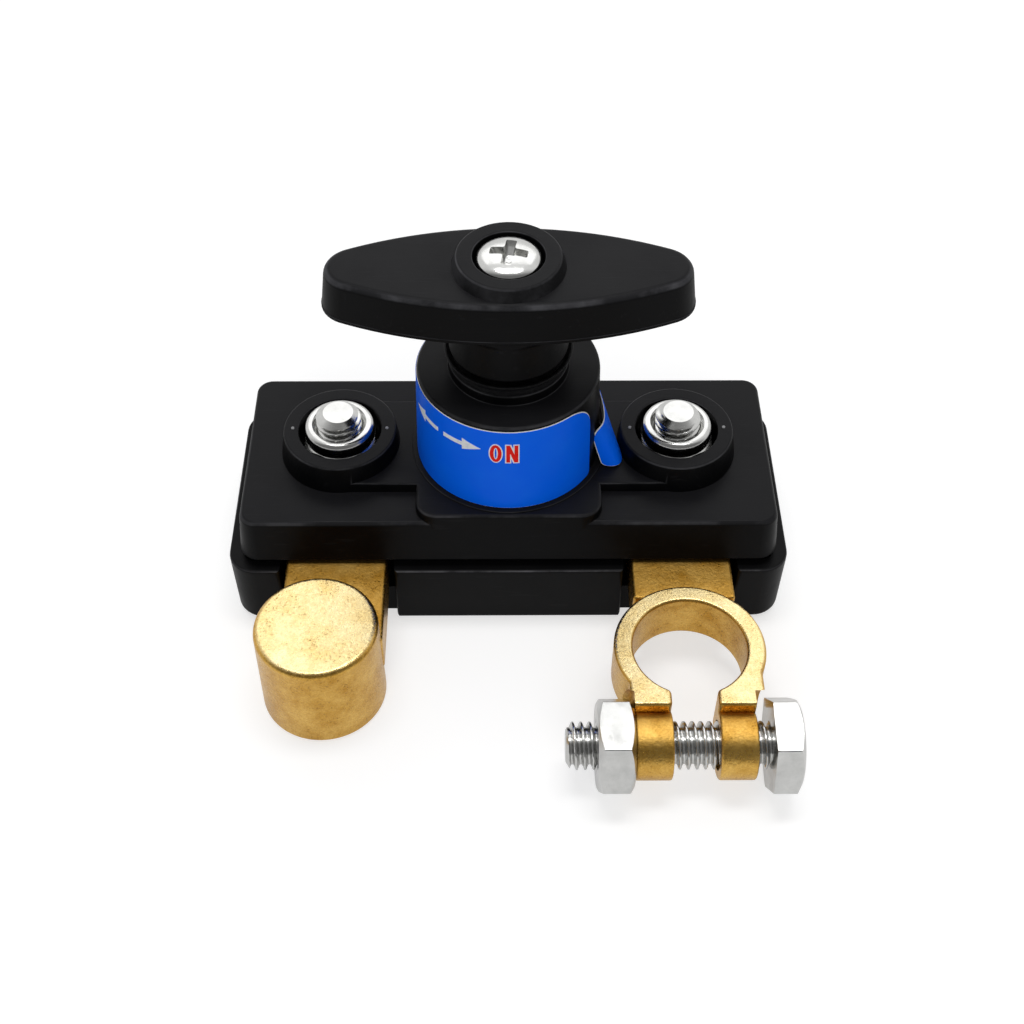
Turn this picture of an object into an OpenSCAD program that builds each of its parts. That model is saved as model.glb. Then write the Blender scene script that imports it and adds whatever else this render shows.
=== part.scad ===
// Battery cut-off switch: a moulded two-piece housing with a rotary handle on a tower,
// two threaded studs, a tapered post terminal and a split clamp terminal.
// Origin: under the handle's axis, in the plane of the base's underside. Millimetres.
// X runs along the housing, -Y is the terminal side, Z is up.

/* [Base housing] */
// Distance from a stud's axis to the end of the base
end_reach = 19.85; // [19.5:0.05:26]
// Width of the base at its lip
body_w = 40; // [38:1:52]
// Height of the base, from the underside to the lip
base_h = 14; // [13:0.5:20]
// How far the base's walls lean in from lip to underside
base_draft = 0.5; // [0:0.1:1.5]
// Radius of the base's upright corners
base_corner = 5; // [3.5:0.5:8]
// Radius of the edge round the underside
foot_round = 1.4; // [0.5:0.1:2]
// Roundness of the lip
lip_round = 0.5; // [0.2:0.1:1]
// Thickness of the housing's walls
wall = 2.6; // [2:0.1:3.5]
// Thickness of the base's floor
floor_t = 2.8; // [2:0.1:4]

/* [Cover] */
// Height of the groove between the base and the cover
seam = 1; // [0.5:0.1:2]
// Height of the cover, from its lower edge to its top face
cover_h = 9.4; // [8:0.2:16]
// How far the cover's lower edge stands back from the base's lip, front and back
cover_inset = 1.35; // [0.8:0.05:2.2]
// How far it stands back at the ends
cover_end_inset = 2.2; // [0.8:0.1:2.8]
// How far the cover's walls lean in from lower edge to top
cover_draft = 0.9; // [0:0.1:2]
// Roundness of the cover's top edge
cover_round = 0.9; // [0.3:0.1:1.5]
// Thickness of the cover's top
cover_t = 3; // [2:0.2:4]
// Depth of the tongue that locates the cover in the base
tongue_h = 2.6; // [1.5:0.1:4]
// Thickness of that tongue
tongue_t = 1.6; // [1:0.1:2]
// Height of the raised band between the bosses
band_h = 1.8; // [0.8:0.1:3]
// Width of the raised band
band_w = 20.4; // [16:0.2:26]
// Length of the pad under the tower, along the housing
pad_l = 32; // [30:0.5:40]
// How far the sides of the band and pad lean in
band_draft = 0.3; // [0:0.05:0.6]

/* [Stud bosses] */
// Distance between the two studs
stud_span = 59.5; // [56:0.5:70]
// Diameter of a boss at its top
boss_d = 19.8; // [18:0.2:23]
// How much wider a boss is at its foot
boss_flare = 1.6; // [0:0.1:3]
// Height of a boss above the cover
boss_h = 5.2; // [4:0.1:9]
// Depth of the recess in a boss
recess_h = 7; // [6:0.1:9]
// Distance of a moulded pip from the boss's axis
pip_offset = 8.3; // [7.8:0.1:9]
// Diameter of a moulded pip
pip_d = 0.9; // [0.5:0.1:1.2]
// Height of a moulded pip
pip_h = 0.15; // [0.05:0.05:0.3]

/* [Tower] */
// Diameter of the tower
tower_d = 31; // [28:0.5:34]
// Height of the tower above its pad
tower_h = 19; // [16:0.5:26]
// Roundness of the tower's top edge
tower_round = 0.6; // [0.2:0.1:1.2]
// Diameter of the ring at the tower's foot
foot_d = 33.2; // [31.5:0.1:34.5]
// Height of the ring at the tower's foot
foot_h = 0.6; // [0.3:0.1:1.5]
// Thickness of the tower's wall
tower_wall = 3.1; // [2.2:0.1:4]
// Thickness of the tower's top
tower_top = 3.2; // [2.5:0.1:5]
// Diameter of the collar round the spindle
collar_d = 20.4; // [19:0.1:23]
// Height of the collar
collar_h = 2; // [1:0.1:4]

/* [Dust seal] */
// Diameter of the seal's foot, on the collar
seal_d = 20; // [18:0.1:20.4]
// Height of the seal's foot
seal_h = 1.1; // [0.6:0.1:1.4]
// Diameter of the seal's lip
lip_d = 21.8; // [20.5:0.1:22.5]
// Height of the lip above the foot
lip_h = 1.4; // [0.6:0.1:1.4]
// Thickness of the lip
lip_t = 0.5; // [0.3:0.1:0.8]

/* [Label] */
// Height of the label
label_h = 16.8; // [10:0.2:18]
// Distance from the tower's foot ring to the label
label_foot = 0.4; // [0.1:0.1:1]
// Thickness of the label
label_t = 0.25; // [0.15:0.05:0.5]
// Where the label starts, in degrees from +X
label_start = -31; // [-60:1:0]
// How far the label runs round the tower, in degrees
label_arc = 322; // [200:1:340]

/* [Handle] */
// Length of the handle
handle_l = 60.6; // [50:0.2:80]
// Width of the handle at its middle
handle_w = 20.8; // [18.5:0.2:26]
// Radius of the handle's ends
handle_end = 5.4; // [4:0.1:7]
// Height of the handle's bar
handle_h = 7.8; // [6:0.1:12]
// How far the bar's sides lean in from the parting line to the top
handle_draft = 0.2; // [0:0.1:0.4]
// How far the bar's ends lean in from the parting line to the top
handle_end_draft = 0.9; // [0:0.1:1.5]
// Step of the parting line
parting_step = 0.1; // [0:0.05:0.2]
// Roundness of the bar's top edge
handle_round = 1.2; // [0.4:0.1:1.5]
// Height of the parting line above the bar's underside
parting_h = 0.7; // [0.4:0.1:1.5]
// Gap between the collar and the handle's neck
neck_gap = 3; // [2.8:0.1:5]
// Diameter of the handle's neck
neck_d = 20; // [18:0.2:22]
// Height of the neck
neck_h = 8.4; // [6:0.1:14]
// Radius of the fillet between neck and bar
neck_fillet = 1.6; // [0.5:0.1:2.5]
// Bevel of the neck's lower edge
neck_edge = 0.5; // [0.2:0.1:1]
// Bevel of the bar's lower edge
under_edge = 0.2; // [0.1:0.05:0.3]
// Diameter of the raised collar on the handle's top
cap_d = 18.4; // [17:0.2:20]
// How much narrower that collar is at its top
cap_taper = 1.6; // [0.4:0.1:2.5]
// Height of that collar
cap_h = 2.1; // [1:0.1:4]
// Depth of the screw's counterbore
screw_recess_h = 3.4; // [3:0.1:5]
// Gap round the screw's head in its counterbore
screw_gap = 0.5; // [0.4:0.1:1.5]

/* [Handle screw] */
// Diameter of the screw's head
screw_head_d = 10.6; // [8.5:0.1:11]
// Height of the screw's head
screw_head_h = 4.2; // [2.2:0.1:4.6]
// Diameter of the screw's shank
screw_d = 5; // [4:0.5:6]
// Length of the screw's shank
screw_l = 14; // [10:0.5:20]
// Width of one arm of the cross recess
cross_w = 1.2; // [0.8:0.1:1.6]
// Span of the cross recess
cross_l = 6; // [4:0.1:7]
// Depth of the cross recess
cross_h = 1.8; // [1:0.1:2.2]
// Angle of the cross recess
cross_turn = -10; // [-45:1:45]

/* [Rotor] */
// Diameter of the spindle's round shaft
spindle_d = 15.2; // [14:0.1:16]
// Width of the square that drives the handle
drive_w = 9; // [8:0.1:10]
// Height of the square that drives the handle
drive_h = 10; // [6:0.2:12]
// Diameter of the spindle's flange
flange_d = 21; // [18:0.2:22]
// Thickness of the flange
flange_h = 5; // [3:0.2:7]
// Width of the square peg that turns the contact
peg_w = 7; // [6:0.1:8]
// Length of the contact bridge
bridge_l = 27; // [24:0.2:28]
// Width of the contact bridge
bridge_w = 12; // [10.5:0.1:13]
// Thickness of the contact bridge
bridge_t = 3; // [2:0.1:4]
// Angle the handle turns through
turn = 90; // [60:1:100]
// Half the angle that the stop lug covers
lug_half = 10; // [6:1:14]
// Thickness of the spring's wire
spring_wire = 1.2; // [0.8:0.1:1.6]
// Number of coils in the spring
spring_coils = 4; // [3:1:6]

/* [Terminals] */
// Width of a terminal bar
bar_w = 17.7; // [15:0.1:19]
// Thickness of a terminal bar
bar_t = 8; // [6:0.1:9]
// How far a bar's centre line stands outside its stud's axis
bar_shift = 0.55; // [0:0.05:1]
// How far a bar reaches behind the studs
bar_back = 9.5; // [8:0.1:11]
// Thickness of the inner arm that carries the contact tip
arm_t = 4.6; // [3.5:0.1:6]
// Width of the inner arm
arm_w = 13; // [10:0.2:15]
// Distance of an arm's end from the handle's axis
arm_gap = 7.6; // [7:0.1:9]
// Diameter of a contact tip
tip_d = 4.4; // [3:0.1:5]
// Height of a contact tip above its arm
tip_h = 0.7; // [0.4:0.1:1.2]

/* [Post terminal] */
// Diameter of the post at its top
post_d = 20.6; // [17:0.1:23]
// How much wider the post is at its bottom
post_flare = 1.9; // [1:0.1:2.5]
// Height of the post
post_h = 17.8; // [14:0.1:20]
// Height of the post's underside above the base's underside
post_lift = 0.4; // [0.1:0.1:2]
// Distance of the post's axis in front of the handle's axis
post_y = 35; // [33:0.5:42]
// How far the post's axis stands outside its bar's centre line
post_shift = 1.2; // [0:0.1:3]
// Roundness of the post's top edge
post_round = 0.7; // [0.3:0.1:1.5]

/* [Clamp terminal] */
// Outer diameter of the clamp ring
ring_d = 25.6; // [23:0.1:29]
// Bore of the clamp ring
ring_bore = 19.2; // [17:0.1:21]
// Height of the clamp ring
ring_h = 9.2; // [8:0.1:11]
// Height of the ring's top above the bar's top
ring_step = 0.7; // [0.2:0.1:1.5]
// Distance of the ring's axis in front of the handle's axis
ring_y = 37.2; // [35:0.1:44]
// Width of the gap between the ears
ear_gap = 7.6; // [5:0.1:9]
// Width of an ear along the bolt
ear_w = 6.1; // [5:0.1:8]
// Diameter of an ear's eye
eye_d = 11.4; // [10.5:0.1:13]
// Distance of the bolt's axis in front of the ring's axis
bolt_y = 15.2; // [14:0.1:18]
// Height of the bolt's axis above the base's underside
bolt_z = 8.6; // [8.6:0.1:9.4]
// How far the arms run in front of the ring's axis
arm_front = 11.8; // [10:0.1:13]
// Gap between the bolt head's corners and the edge of the spot face cut for it
spot_gap = 0.65; // [0.3:0.05:1]
// How far the shoulder beside the nut stands out past its ear
nut_shoulder_w = 0.7; // [0.3:0.1:1.5]
// How far the shoulder beside the bolt's head stands out past its ear
shoulder_w = 1.7; // [0.8:0.1:2.5]

/* [Clamp bolt and nut] */
// Thread diameter of the clamp bolt and the studs
thread_d = 7.94; // [6:0.02:9]
// Length of the clamp bolt under its head
bolt_l = 33.8; // [30:0.2:42]
// Width across the flats of the clamp's hexagons
hex_w = 14.8; // [12:0.1:14.8]
// Height of the bolt's head
head_h = 5.7; // [4:0.1:7]
// Thickness of the clamp nut
nut_h = 6.1; // [5:0.1:8]
// Gap between the right ear and the bolt's head
head_gap = 2.4; // [2.2:0.1:4]
// Angle of the nut's leading corner above the horizontal
nut_turn = 54; // [0:1:60]
// Angle of the head's leading corner above the horizontal
head_turn = 51; // [0:1:60]

/* [Studs] */
// How far a stud stands above its nut
stud_above = 2.6; // [1.5:0.1:12]
// Chamfer on a stud's or bolt's end
end_chamfer = 1.1; // [0.5:0.1:1.5]
// Diameter of a stud's head, under the bar
stud_head_d = 13.4; // [11:0.1:15]
// Thickness of a stud's head
stud_head_h = 3.2; // [2:0.1:4]
// Width across the flats of a stud's nut
stud_hex_w = 12.3; // [11:0.1:12.8]
// Thickness of a stud's nut
stud_nut_h = 6.8; // [5:0.1:8]
// Diameter over the nut's rounded corners
stud_nut_corner = 14; // [12.9:0.1:14.2]
// Thickness of the washer under a stud's nut
washer_h = 1.6; // [1:0.1:2]
// Outer diameter of that washer
washer_d = 14; // [12:0.1:14.2]

/* [Housing screws] */
// Distance of a case screw's axis from the end of the base
case_screw_end = 6.6; // [6:0.1:8]
// Distance of a case screw's axis from the side of the base
case_screw_side = 6.8; // [6:0.1:8]
// Diameter of a housing screw's shank
case_screw_d = 3; // [2.5:0.1:3.5]
// Diameter of a housing screw's head
case_head_d = 5.6; // [5:0.1:6]
// Height of a housing screw's head
case_head_h = 1.8; // [1.2:0.1:2.2]
// Diameter of the pillars that take the housing screws
pillar_d = 6; // [5.5:0.1:6.6]

/* [Fits] */
// Clearance round pieces that are assembled by hand
fit = 0.15; // [0.1:0.05:0.3]
// Clearance between pieces that move past each other
clear = 0.3; // [0.2:0.05:0.5]
// Radial clearance of the spindle in its bearing
running = 0.06; // [0.02:0.01:0.1]
// Side clearance of a bar in the slot in the front wall
slot_side = 1.2; // [0.5:0.1:2]
// Clearance round a threaded piece in a plain hole
hole_fit = 0.2; // [0.1:0.05:0.4]

/* [Hidden] */
$fn = 96;

black = "#1d1d1f";
brass = "#d2ab58";
steel = "#c8c9c8";
blue = "#0a5fd6";

// A thin slab that a hull or a cut needs in place of a flat outline
skin = 0.01;
// How far a cut runs past the face it opens
over = 1;

// Levels up the housing
cover_z = base_h + seam;
top_z = cover_z + cover_h;
ceiling_z = top_z - cover_t;
tongue_z = base_h - tongue_h;
band_z = top_z + band_h;
boss_z = top_z + boss_h;
recess_z = boss_z - recess_h;
tower_z = band_z + tower_h;
tower_ceiling_z = tower_z - tower_top;
collar_z = tower_z + collar_h;
neck_z = collar_z + neck_gap;
bar_under_z = neck_z + neck_h;
bar_top_z = bar_under_z + handle_h;
cap_z = bar_top_z + cap_h;
screw_seat_z = cap_z - screw_recess_h;

// The studs' distance places the bars, the post and the base's ends
stud_x = stud_span / 2;
bar_x = stud_x + bar_shift;
post_x = bar_x + post_shift;
body_l = stud_span + 2 * end_reach;
// Outer outline of the cover at its lower edge
cover_l = body_l - 2 * cover_end_inset;
cover_w = body_w - 2 * cover_inset;
cover_corner = base_corner - cover_inset;
// Where the case screws stand
case_screw_x = body_l / 2 - case_screw_end;
case_screw_y = body_w / 2 - case_screw_side;
// Inner outline of the base
cavity_l = body_l - 2 * wall;
cavity_w = body_w - 2 * wall;
cavity_corner = base_corner - wall;
// Inner outline of the cover
hollow_l = cover_l - 2 * wall;
hollow_w = cover_w - 2 * wall;
hollow_corner = max(cover_corner - wall, 0.8);

// Levels of the terminals
bar_z = cover_z - clear;
bar_low = bar_z - bar_t;
arm_z = bar_z - tip_h;
seat_z = bar_low - fit;
ring_z = bar_z + ring_step;
stud_z = bar_low - stud_head_h;
nut_seat_z = recess_z + washer_h;
nut_top_z = nut_seat_z + stud_nut_h;
stud_top_z = nut_top_z + stud_above;

// Rotor
bridge_z = bar_z + running;
flange_z = tower_ceiling_z - clear;
flange_low = flange_z - flange_h;
spring_low = bridge_z + bridge_t;
tower_bore = tower_d - 2 * tower_wall;
lug_reach = tower_bore / 2 - clear;
rib_half = 8;
rib_reach = (flange_d + 2 * clear) / 2;
stop_play = 2.5;
lug_at = -135;

// Clamp
bolt_axis_y = -(ring_y + bolt_y);
ear_inner = ear_gap / 2;
ear_outer = ear_inner + ear_w;
head_x = bar_x + ear_outer + head_gap;
bolt_end_x = head_x - bolt_l;
nut_x = bar_x - ear_outer - nut_h - fit;
thread_hole = thread_d + 2 * hole_fit;
spot_r = hex_w / sqrt(3) + spot_gap;

// A rounded rectangle, centred
module rounded(l, w, r) {
    square([l - 2 * r, w], center = true);
    square([l, w - 2 * r], center = true);
    for (x = [-1, 1], y = [-1, 1])
        translate([x * (l / 2 - r), y * (w / 2 - r)])
            circle(r);
}

// A thin slab of that rectangle, drawn in by inset all round
module slab(l, w, r, z, inset) {
    translate([0, 0, z])
        linear_extrude(skin)
            rounded(l - 2 * inset, w - 2 * inset, r - inset, $fn = 48);
}

// A hexagonal prism along +Z from the origin, with both ends chamfered
module hexagon(flats, h, corner_d, low_chamfer) {
    corner_r = flats / 2 / cos(30);
    face_r = flats / 2 * 0.93;
    drop = (corner_r - face_r) * tan(30);
    intersection() {
        cylinder(h = h, r = corner_r, $fn = 6);
        cylinder(h = h, d = corner_d);
        rotate_extrude()
            polygon([[0, 0], [low_chamfer ? face_r : corner_r + skin, 0],
                     [corner_r + skin, low_chamfer ? drop : 0],
                     [corner_r + skin, h - drop], [face_r, h], [0, h]]);
    }
}

// A plain rod along +Z from the origin with a chamfered top, as a thread's outside
module rod(d, h) {
    rotate_extrude()
        polygon([[0, 0], [d / 2, 0], [d / 2, h - end_chamfer], [d / 2 - end_chamfer, h], [0, h]]);
}

// Base

// The block under a terminal bar, which carries it
module bar_seat(side) {
    half = bar_w / 2 + slot_side + wall / 2;
    translate([side * bar_x - half, -cavity_w / 2 - skin, 0])
        cube([2 * half, cavity_w / 2 + bar_back + wall, seat_z]);
}

// The space that a terminal bar takes through the front wall and over its seat
module bar_channel(side) {
    x = side * bar_x - bar_w / 2 - slot_side;
    translate([x, -body_w / 2 - over, seat_z])
        cube([bar_w + 2 * slot_side, body_w / 2 + over + bar_back + clear, base_h]);
}

// The notch that a terminal bar leaves through by, with its foot rounded like the underside
module front_notch(side) {
    half = bar_w / 2 + slot_side;
    r = foot_round;
    foot = [for (t = [0:15:90]) [half + r - r * cos(t), r - r * sin(t)]];
    translate([side * bar_x, -cavity_w / 2, 0])
        rotate([90, 0, 0])
            linear_extrude(wall + over)
                for (end = [0, 1])
                    mirror([end, 0, 0])
                        polygon(concat([[-skin, base_h + over], [half, base_h + over]], foot,
                                       [[half + r, -over], [-skin, -over]]));
}

module at_case_screws() {
    for (x = [-1, 1], y = [-1, 1])
        translate([x * case_screw_x, y * case_screw_y, 0])
            children();
}

module base_housing() {
    color(black)
        difference() {
            union() {
                difference() {
                    base_shell();
                    translate([0, 0, floor_t])
                        linear_extrude(base_h)
                            rounded(cavity_l, cavity_w, cavity_corner);
                }
                for (side = [-1, 1])
                    intersection() {
                        bar_seat(side);
                        base_shell();
                    }
                at_case_screws()
                    cylinder(h = tongue_z - fit, d = pillar_d);
            }
            for (side = [-1, 1]) {
                bar_channel(side);
                front_notch(side);
                translate([side * stud_x, 0, stud_z - fit])
                    cylinder(h = base_h, d = stud_head_d + 2 * fit);
            }
            at_case_screws() {
                translate([0, 0, -over])
                    cylinder(h = base_h + 2 * over, d = case_screw_d + 2 * hole_fit);
                translate([0, 0, -over])
                    cylinder(h = over + case_head_h + clear, d = case_head_d + 2 * fit);
            }
        }
}

module base_shell() {
    hull() {
        slab(body_l, body_w, base_corner, 0, base_draft + foot_round);
        slab(body_l, body_w, base_corner, foot_round * 0.3, base_draft + foot_round * 0.3);
        slab(body_l, body_w, base_corner, foot_round, base_draft);
        slab(body_l, body_w, base_corner, base_h - 2 * lip_round, 0);
        slab(body_l, body_w, base_corner, base_h - lip_round, 0);
        slab(body_l, body_w, base_corner, base_h - 0.3 * lip_round - skin, 0.3 * lip_round);
        slab(body_l, body_w, base_corner, base_h - skin, lip_round);
    }
}

// Cover

module cover_shell() {
    lean = cover_draft;
    hull() {
        slab(cover_l, cover_w, cover_corner, cover_z, 0);
        slab(cover_l, cover_w, cover_corner, top_z - cover_round, lean);
        slab(cover_l, cover_w, cover_corner, top_z - 0.3 * cover_round, lean + 0.3 * cover_round);
        slab(cover_l, cover_w, cover_corner, top_z - skin, lean + cover_round);
    }
}

// The raised band that joins the bosses, with leaning sides
module raised_band() {
    half = band_w / 2;
    rotate([90, 0, 90])
        linear_extrude(stud_span, center = true)
            polygon([[-half - band_draft, top_z - over], [half + band_draft, top_z - over],
                     [half + band_draft, top_z], [half, band_z], [-half, band_z],
                     [-half - band_draft, top_z]]);
}

// The pad under the tower, flush with the cover's front and back walls
module tower_pad() {
    w = cover_w - 2 * cover_draft;
    hull() {
        slab(pad_l + 2 * band_draft, w, cover_corner, top_z - over, 0);
        slab(pad_l, w, cover_corner, band_z - cover_round, 0);
        slab(pad_l, w, cover_corner, band_z - skin, cover_round * 0.7);
    }
}

module boss(side) {
    translate([side * stud_x, 0, 0]) {
        translate([0, 0, ceiling_z])
            cylinder(h = top_z - ceiling_z, d = boss_d + boss_flare);
        translate([0, 0, top_z])
            cylinder(h = boss_h, d1 = boss_d + boss_flare, d2 = boss_d);
        for (x = [-1, 1])
            translate([x * pip_offset, 0, boss_z])
                cylinder(h = pip_h, d = pip_d);
    }
}

module tower() {
    r = tower_d / 2;
    translate([0, 0, ceiling_z])
        rotate_extrude()
            polygon([[0, 0], [foot_d / 2, 0], [foot_d / 2, band_z + foot_h - ceiling_z],
                     [r, band_z + foot_h - ceiling_z], [r, tower_z - tower_round - ceiling_z],
                     [r - 0.3 * tower_round, tower_z - 0.3 * tower_round - ceiling_z],
                     [r - tower_round, tower_z - ceiling_z], [0, tower_z - ceiling_z]]);
    translate([0, 0, tower_z])
        cylinder(h = collar_h, d = collar_d);
}

// The ribs inside the tower that stop the spindle's lug
module stop_ribs() {
    reach = lug_half + stop_play + rib_half;
    for (a = [lug_at - reach, lug_at + turn + reach])
        rotate([0, 0, a - rib_half])
            translate([0, 0, flange_low - over])
                rotate_extrude(angle = 2 * rib_half)
                    translate([rib_reach, 0])
                        square([tower_d / 2 - tower_wall / 2 - rib_reach, flange_h + clear + 2 * over]);
}

module tongue() {
    l = cavity_l - 2 * fit;
    w = cavity_w - 2 * fit;
    difference() {
        translate([0, 0, tongue_z])
            linear_extrude(seam + tongue_h + wall)
                difference() {
                    rounded(l, w, cavity_corner - fit);
                    rounded(l - 2 * tongue_t, w - 2 * tongue_t, 0.6);
                }
        for (side = [-1, 1])
            translate([side * bar_x, -body_w / 4, tongue_z])
                cube([bar_w + 2 * slot_side, body_w / 2, 2 * (tongue_h + seam)], center = true);
    }
}

module top_cover() {
    color(black)
        difference() {
            union() {
                difference() {
                    cover_shell();
                    translate([0, 0, cover_z - over])
                        linear_extrude(cover_h - cover_t + over)
                            rounded(hollow_l - 2 * cover_draft, hollow_w - 2 * cover_draft, hollow_corner);
                }
                tongue();
                raised_band();
                tower_pad();
                tower();
                for (side = [-1, 1]) {
                    boss(side);
                    translate([side * stud_x, 0, bar_z + running])
                        cylinder(h = cover_h, d = boss_d);
                }
                at_case_screws()
                    translate([0, 0, tongue_z])
                        cylinder(h = ceiling_z - tongue_z + skin, d = pillar_d - 2 * fit);
            }
            for (side = [-1, 1])
                translate([side * stud_x, 0, 0]) {
                    cylinder(h = boss_z, d = thread_hole);
                    translate([0, 0, recess_z])
                        cylinder(h = recess_h + over, d = stud_nut_corner + 2 * clear);
                }
            translate([0, 0, base_h - over])
                cylinder(h = tower_ceiling_z - base_h + over, d = tower_bore);
            cylinder(h = collar_z + over, d = spindle_d + 2 * running);
            at_case_screws()
                translate([0, 0, tongue_z - over])
                    cylinder(h = ceiling_z - tongue_z + over, d = case_screw_d + hole_fit);
        }
    color(black)
        stop_ribs();
}

module dust_seal() {
    bore_r = spindle_d / 2 + clear;
    r = seal_d / 2;
    top_r = lip_d / 2;
    color("#111111")
        translate([0, 0, collar_z])
            rotate_extrude()
                polygon([[bore_r, 0], [r, 0], [r, seal_h], [top_r, seal_h + lip_h - lip_t / 2],
                         [top_r - lip_t / 2, seal_h + lip_h], [top_r - lip_t, seal_h + lip_h - lip_t / 2],
                         [r - lip_t, seal_h], [bore_r, seal_h]]);
}

module label() {
    color(blue)
        rotate([0, 0, label_start - label_arc])
            translate([0, 0, band_z + foot_h + label_foot])
                rotate_extrude(angle = label_arc)
                    translate([tower_d / 2, 0])
                        square([label_t, label_h]);
}

// Terminals

// A bar from the stud out through the front wall, with the arm to the contact tip
module bar_with_arm(side, front) {
    inner = bar_x - bar_w / 2;
    translate([side * bar_x - bar_w / 2, -front, bar_low])
        cube([bar_w, front + bar_back, bar_t]);
    translate([side > 0 ? arm_gap : -inner - over, -arm_w / 2, arm_z - arm_t])
        cube([inner + over - arm_gap, arm_w, arm_t]);
}

module stud_hole(side) {
    translate([side * stud_x, 0, bar_low - over])
        cylinder(h = bar_t + 2 * over, d = thread_hole);
    translate([side * tip_x(), 0, arm_z - arm_t - over])
        cylinder(h = arm_t + 2 * over, d = tip_d / 2 + 2 * fit);
}

function tip_x() = bridge_l / 2 - tip_d / 2 - 0.6;

module post_terminal() {
    top_r = post_d / 2;
    low_r = (post_d + post_flare) / 2;
    color(brass)
        difference() {
            union() {
                bar_with_arm(-1, post_y);
                translate([-post_x, -post_y, post_lift])
                    rotate_extrude()
                        polygon([[0, 0], [low_r - post_round / 2, 0], [low_r, post_round / 2],
                                 [top_r, post_h - post_round],
                                 [top_r - 0.3 * post_round, post_h - 0.3 * post_round],
                                 [top_r - post_round, post_h], [0, post_h]]);
            }
            stud_hole(-1);
        }
}

// One ear of the clamp: side is -1 for the nut's ear and 1 for the head's
module ear(side) {
    x = side < 0 ? -ear_outer : ear_inner;
    translate([bar_x + x, -ring_y - arm_front, ring_z - ring_h])
        cube([ear_w, arm_front, ring_h]);
    translate([bar_x + x, bolt_axis_y, bolt_z])
        rotate([0, 90, 0])
            cylinder(h = ear_w, d = eye_d);
}

// The side of an arm, from the ring's centre line to the arm's front
module shoulder(side, reach) {
    translate([bar_x + (side < 0 ? -reach : 0), -ring_y - arm_front, ring_z - ring_h])
        cube([reach, arm_front, ring_h]);
}

// The round cut beside an ear, in which the nut or the bolt's head turns
module spot_face(side) {
    translate([bar_x + side * ear_outer, bolt_axis_y, bolt_z])
        rotate([0, side * 90, 0])
            cylinder(h = ear_w, r = spot_r);
}

module clamp_terminal() {
    color(brass)
        difference() {
            union() {
                bar_with_arm(1, ring_y);
                translate([bar_x, -ring_y, ring_z - ring_h])
                    cylinder(h = ring_h, d = ring_d);
                ear(-1);
                ear(1);
                shoulder(-1, ear_outer + nut_shoulder_w);
                shoulder(1, ear_outer + shoulder_w);
            }
            spot_face(-1);
            spot_face(1);
            translate([bar_x, -ring_y, ring_z - ring_h - over])
                cylinder(h = ring_h + 2 * over, d = ring_bore);
            translate([bar_x - ear_inner, -ring_y - arm_front - over, 0])
                cube([ear_gap, arm_front + over, ring_z + over]);
            translate([bar_x - ear_outer - over, bolt_axis_y, bolt_z])
                rotate([0, 90, 0])
                    cylinder(h = 2 * (ear_outer + over), d = thread_hole);
            stud_hole(1);
        }
}

module contact_tip(side) {
    color("#d9d9d6")
        translate([side * tip_x(), 0, arm_z - arm_t]) {
            cylinder(h = arm_t + skin, d = tip_d / 2);
            translate([0, 0, arm_t])
                cylinder(h = tip_h, d = tip_d);
        }
}

// Studs

module stud(side) {
    color(steel)
        translate([side * stud_x, 0, stud_z]) {
            cylinder(h = stud_head_h, d = stud_head_d);
            rod(thread_d, stud_top_z - stud_z);
        }
}

module stud_washer(side) {
    color(steel)
        translate([side * stud_x, 0, recess_z])
            difference() {
                cylinder(h = washer_h, d = washer_d);
                translate([0, 0, -over])
                    cylinder(h = washer_h + 2 * over, d = thread_hole);
            }
}

module stud_nut(side) {
    color(steel)
        translate([side * stud_x, 0, nut_seat_z])
            difference() {
                rotate([0, 0, 30])
                    hexagon(stud_hex_w, stud_nut_h, stud_nut_corner, false);
                translate([0, 0, -over])
                    cylinder(h = stud_nut_h + 2 * over, d = thread_d + 2 * running);
            }
}

module case_screw(x, y) {
    color(steel)
        translate([x * case_screw_x, y * case_screw_y, 0]) {
            translate([0, 0, clear])
                cylinder(h = case_head_h, d = case_head_d);
            translate([0, 0, clear + case_head_h - skin])
                cylinder(h = ceiling_z - clear - case_head_h - over, d = case_screw_d);
        }
}

// Rotor

// A square prism up from z, centred on the axis
module square_peg(w, z, h) {
    translate([-w / 2, -w / 2, z])
        cube([w, w, h]);
}

module spindle() {
    color("#141414")
        difference() {
            union() {
                square_peg(peg_w, bridge_z - clear / 2, flange_low - bridge_z + over);
                translate([0, 0, flange_low])
                    cylinder(h = flange_h, d = flange_d);
                rotate([0, 0, lug_at - lug_half])
                    translate([0, 0, flange_low])
                        rotate_extrude(angle = 2 * lug_half)
                            square([lug_reach, flange_h]);
                translate([0, 0, flange_z - skin])
                    cylinder(h = neck_z - flange_z + skin, d = spindle_d);
                square_peg(drive_w, neck_z - over, drive_h + over);
            }
            translate([0, 0, screw_seat_z - screw_l - over])
                cylinder(h = screw_l + over, d = screw_d + 2 * running);
        }
}

module contact_bridge() {
    color(brass)
        translate([0, 0, bridge_z])
            difference() {
                intersection() {
                    translate([-bridge_l / 2, -bridge_w / 2, 0])
                        cube([bridge_l, bridge_w, bridge_t]);
                    cylinder(h = bridge_t, d = bridge_l);
                }
                square_peg(peg_w + 2 * fit, -over, bridge_t + 2 * over);
            }
}

// Points of a coil's round section at angle a along the spring
function coil_ring(a, r, z, wire, sides) =
    [for (i = [0:sides - 1])
        let (b = 360 * i / sides, q = r + wire / 2 * cos(b))
        [q * cos(a), q * sin(a), z + wire / 2 * sin(b)]];

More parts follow.
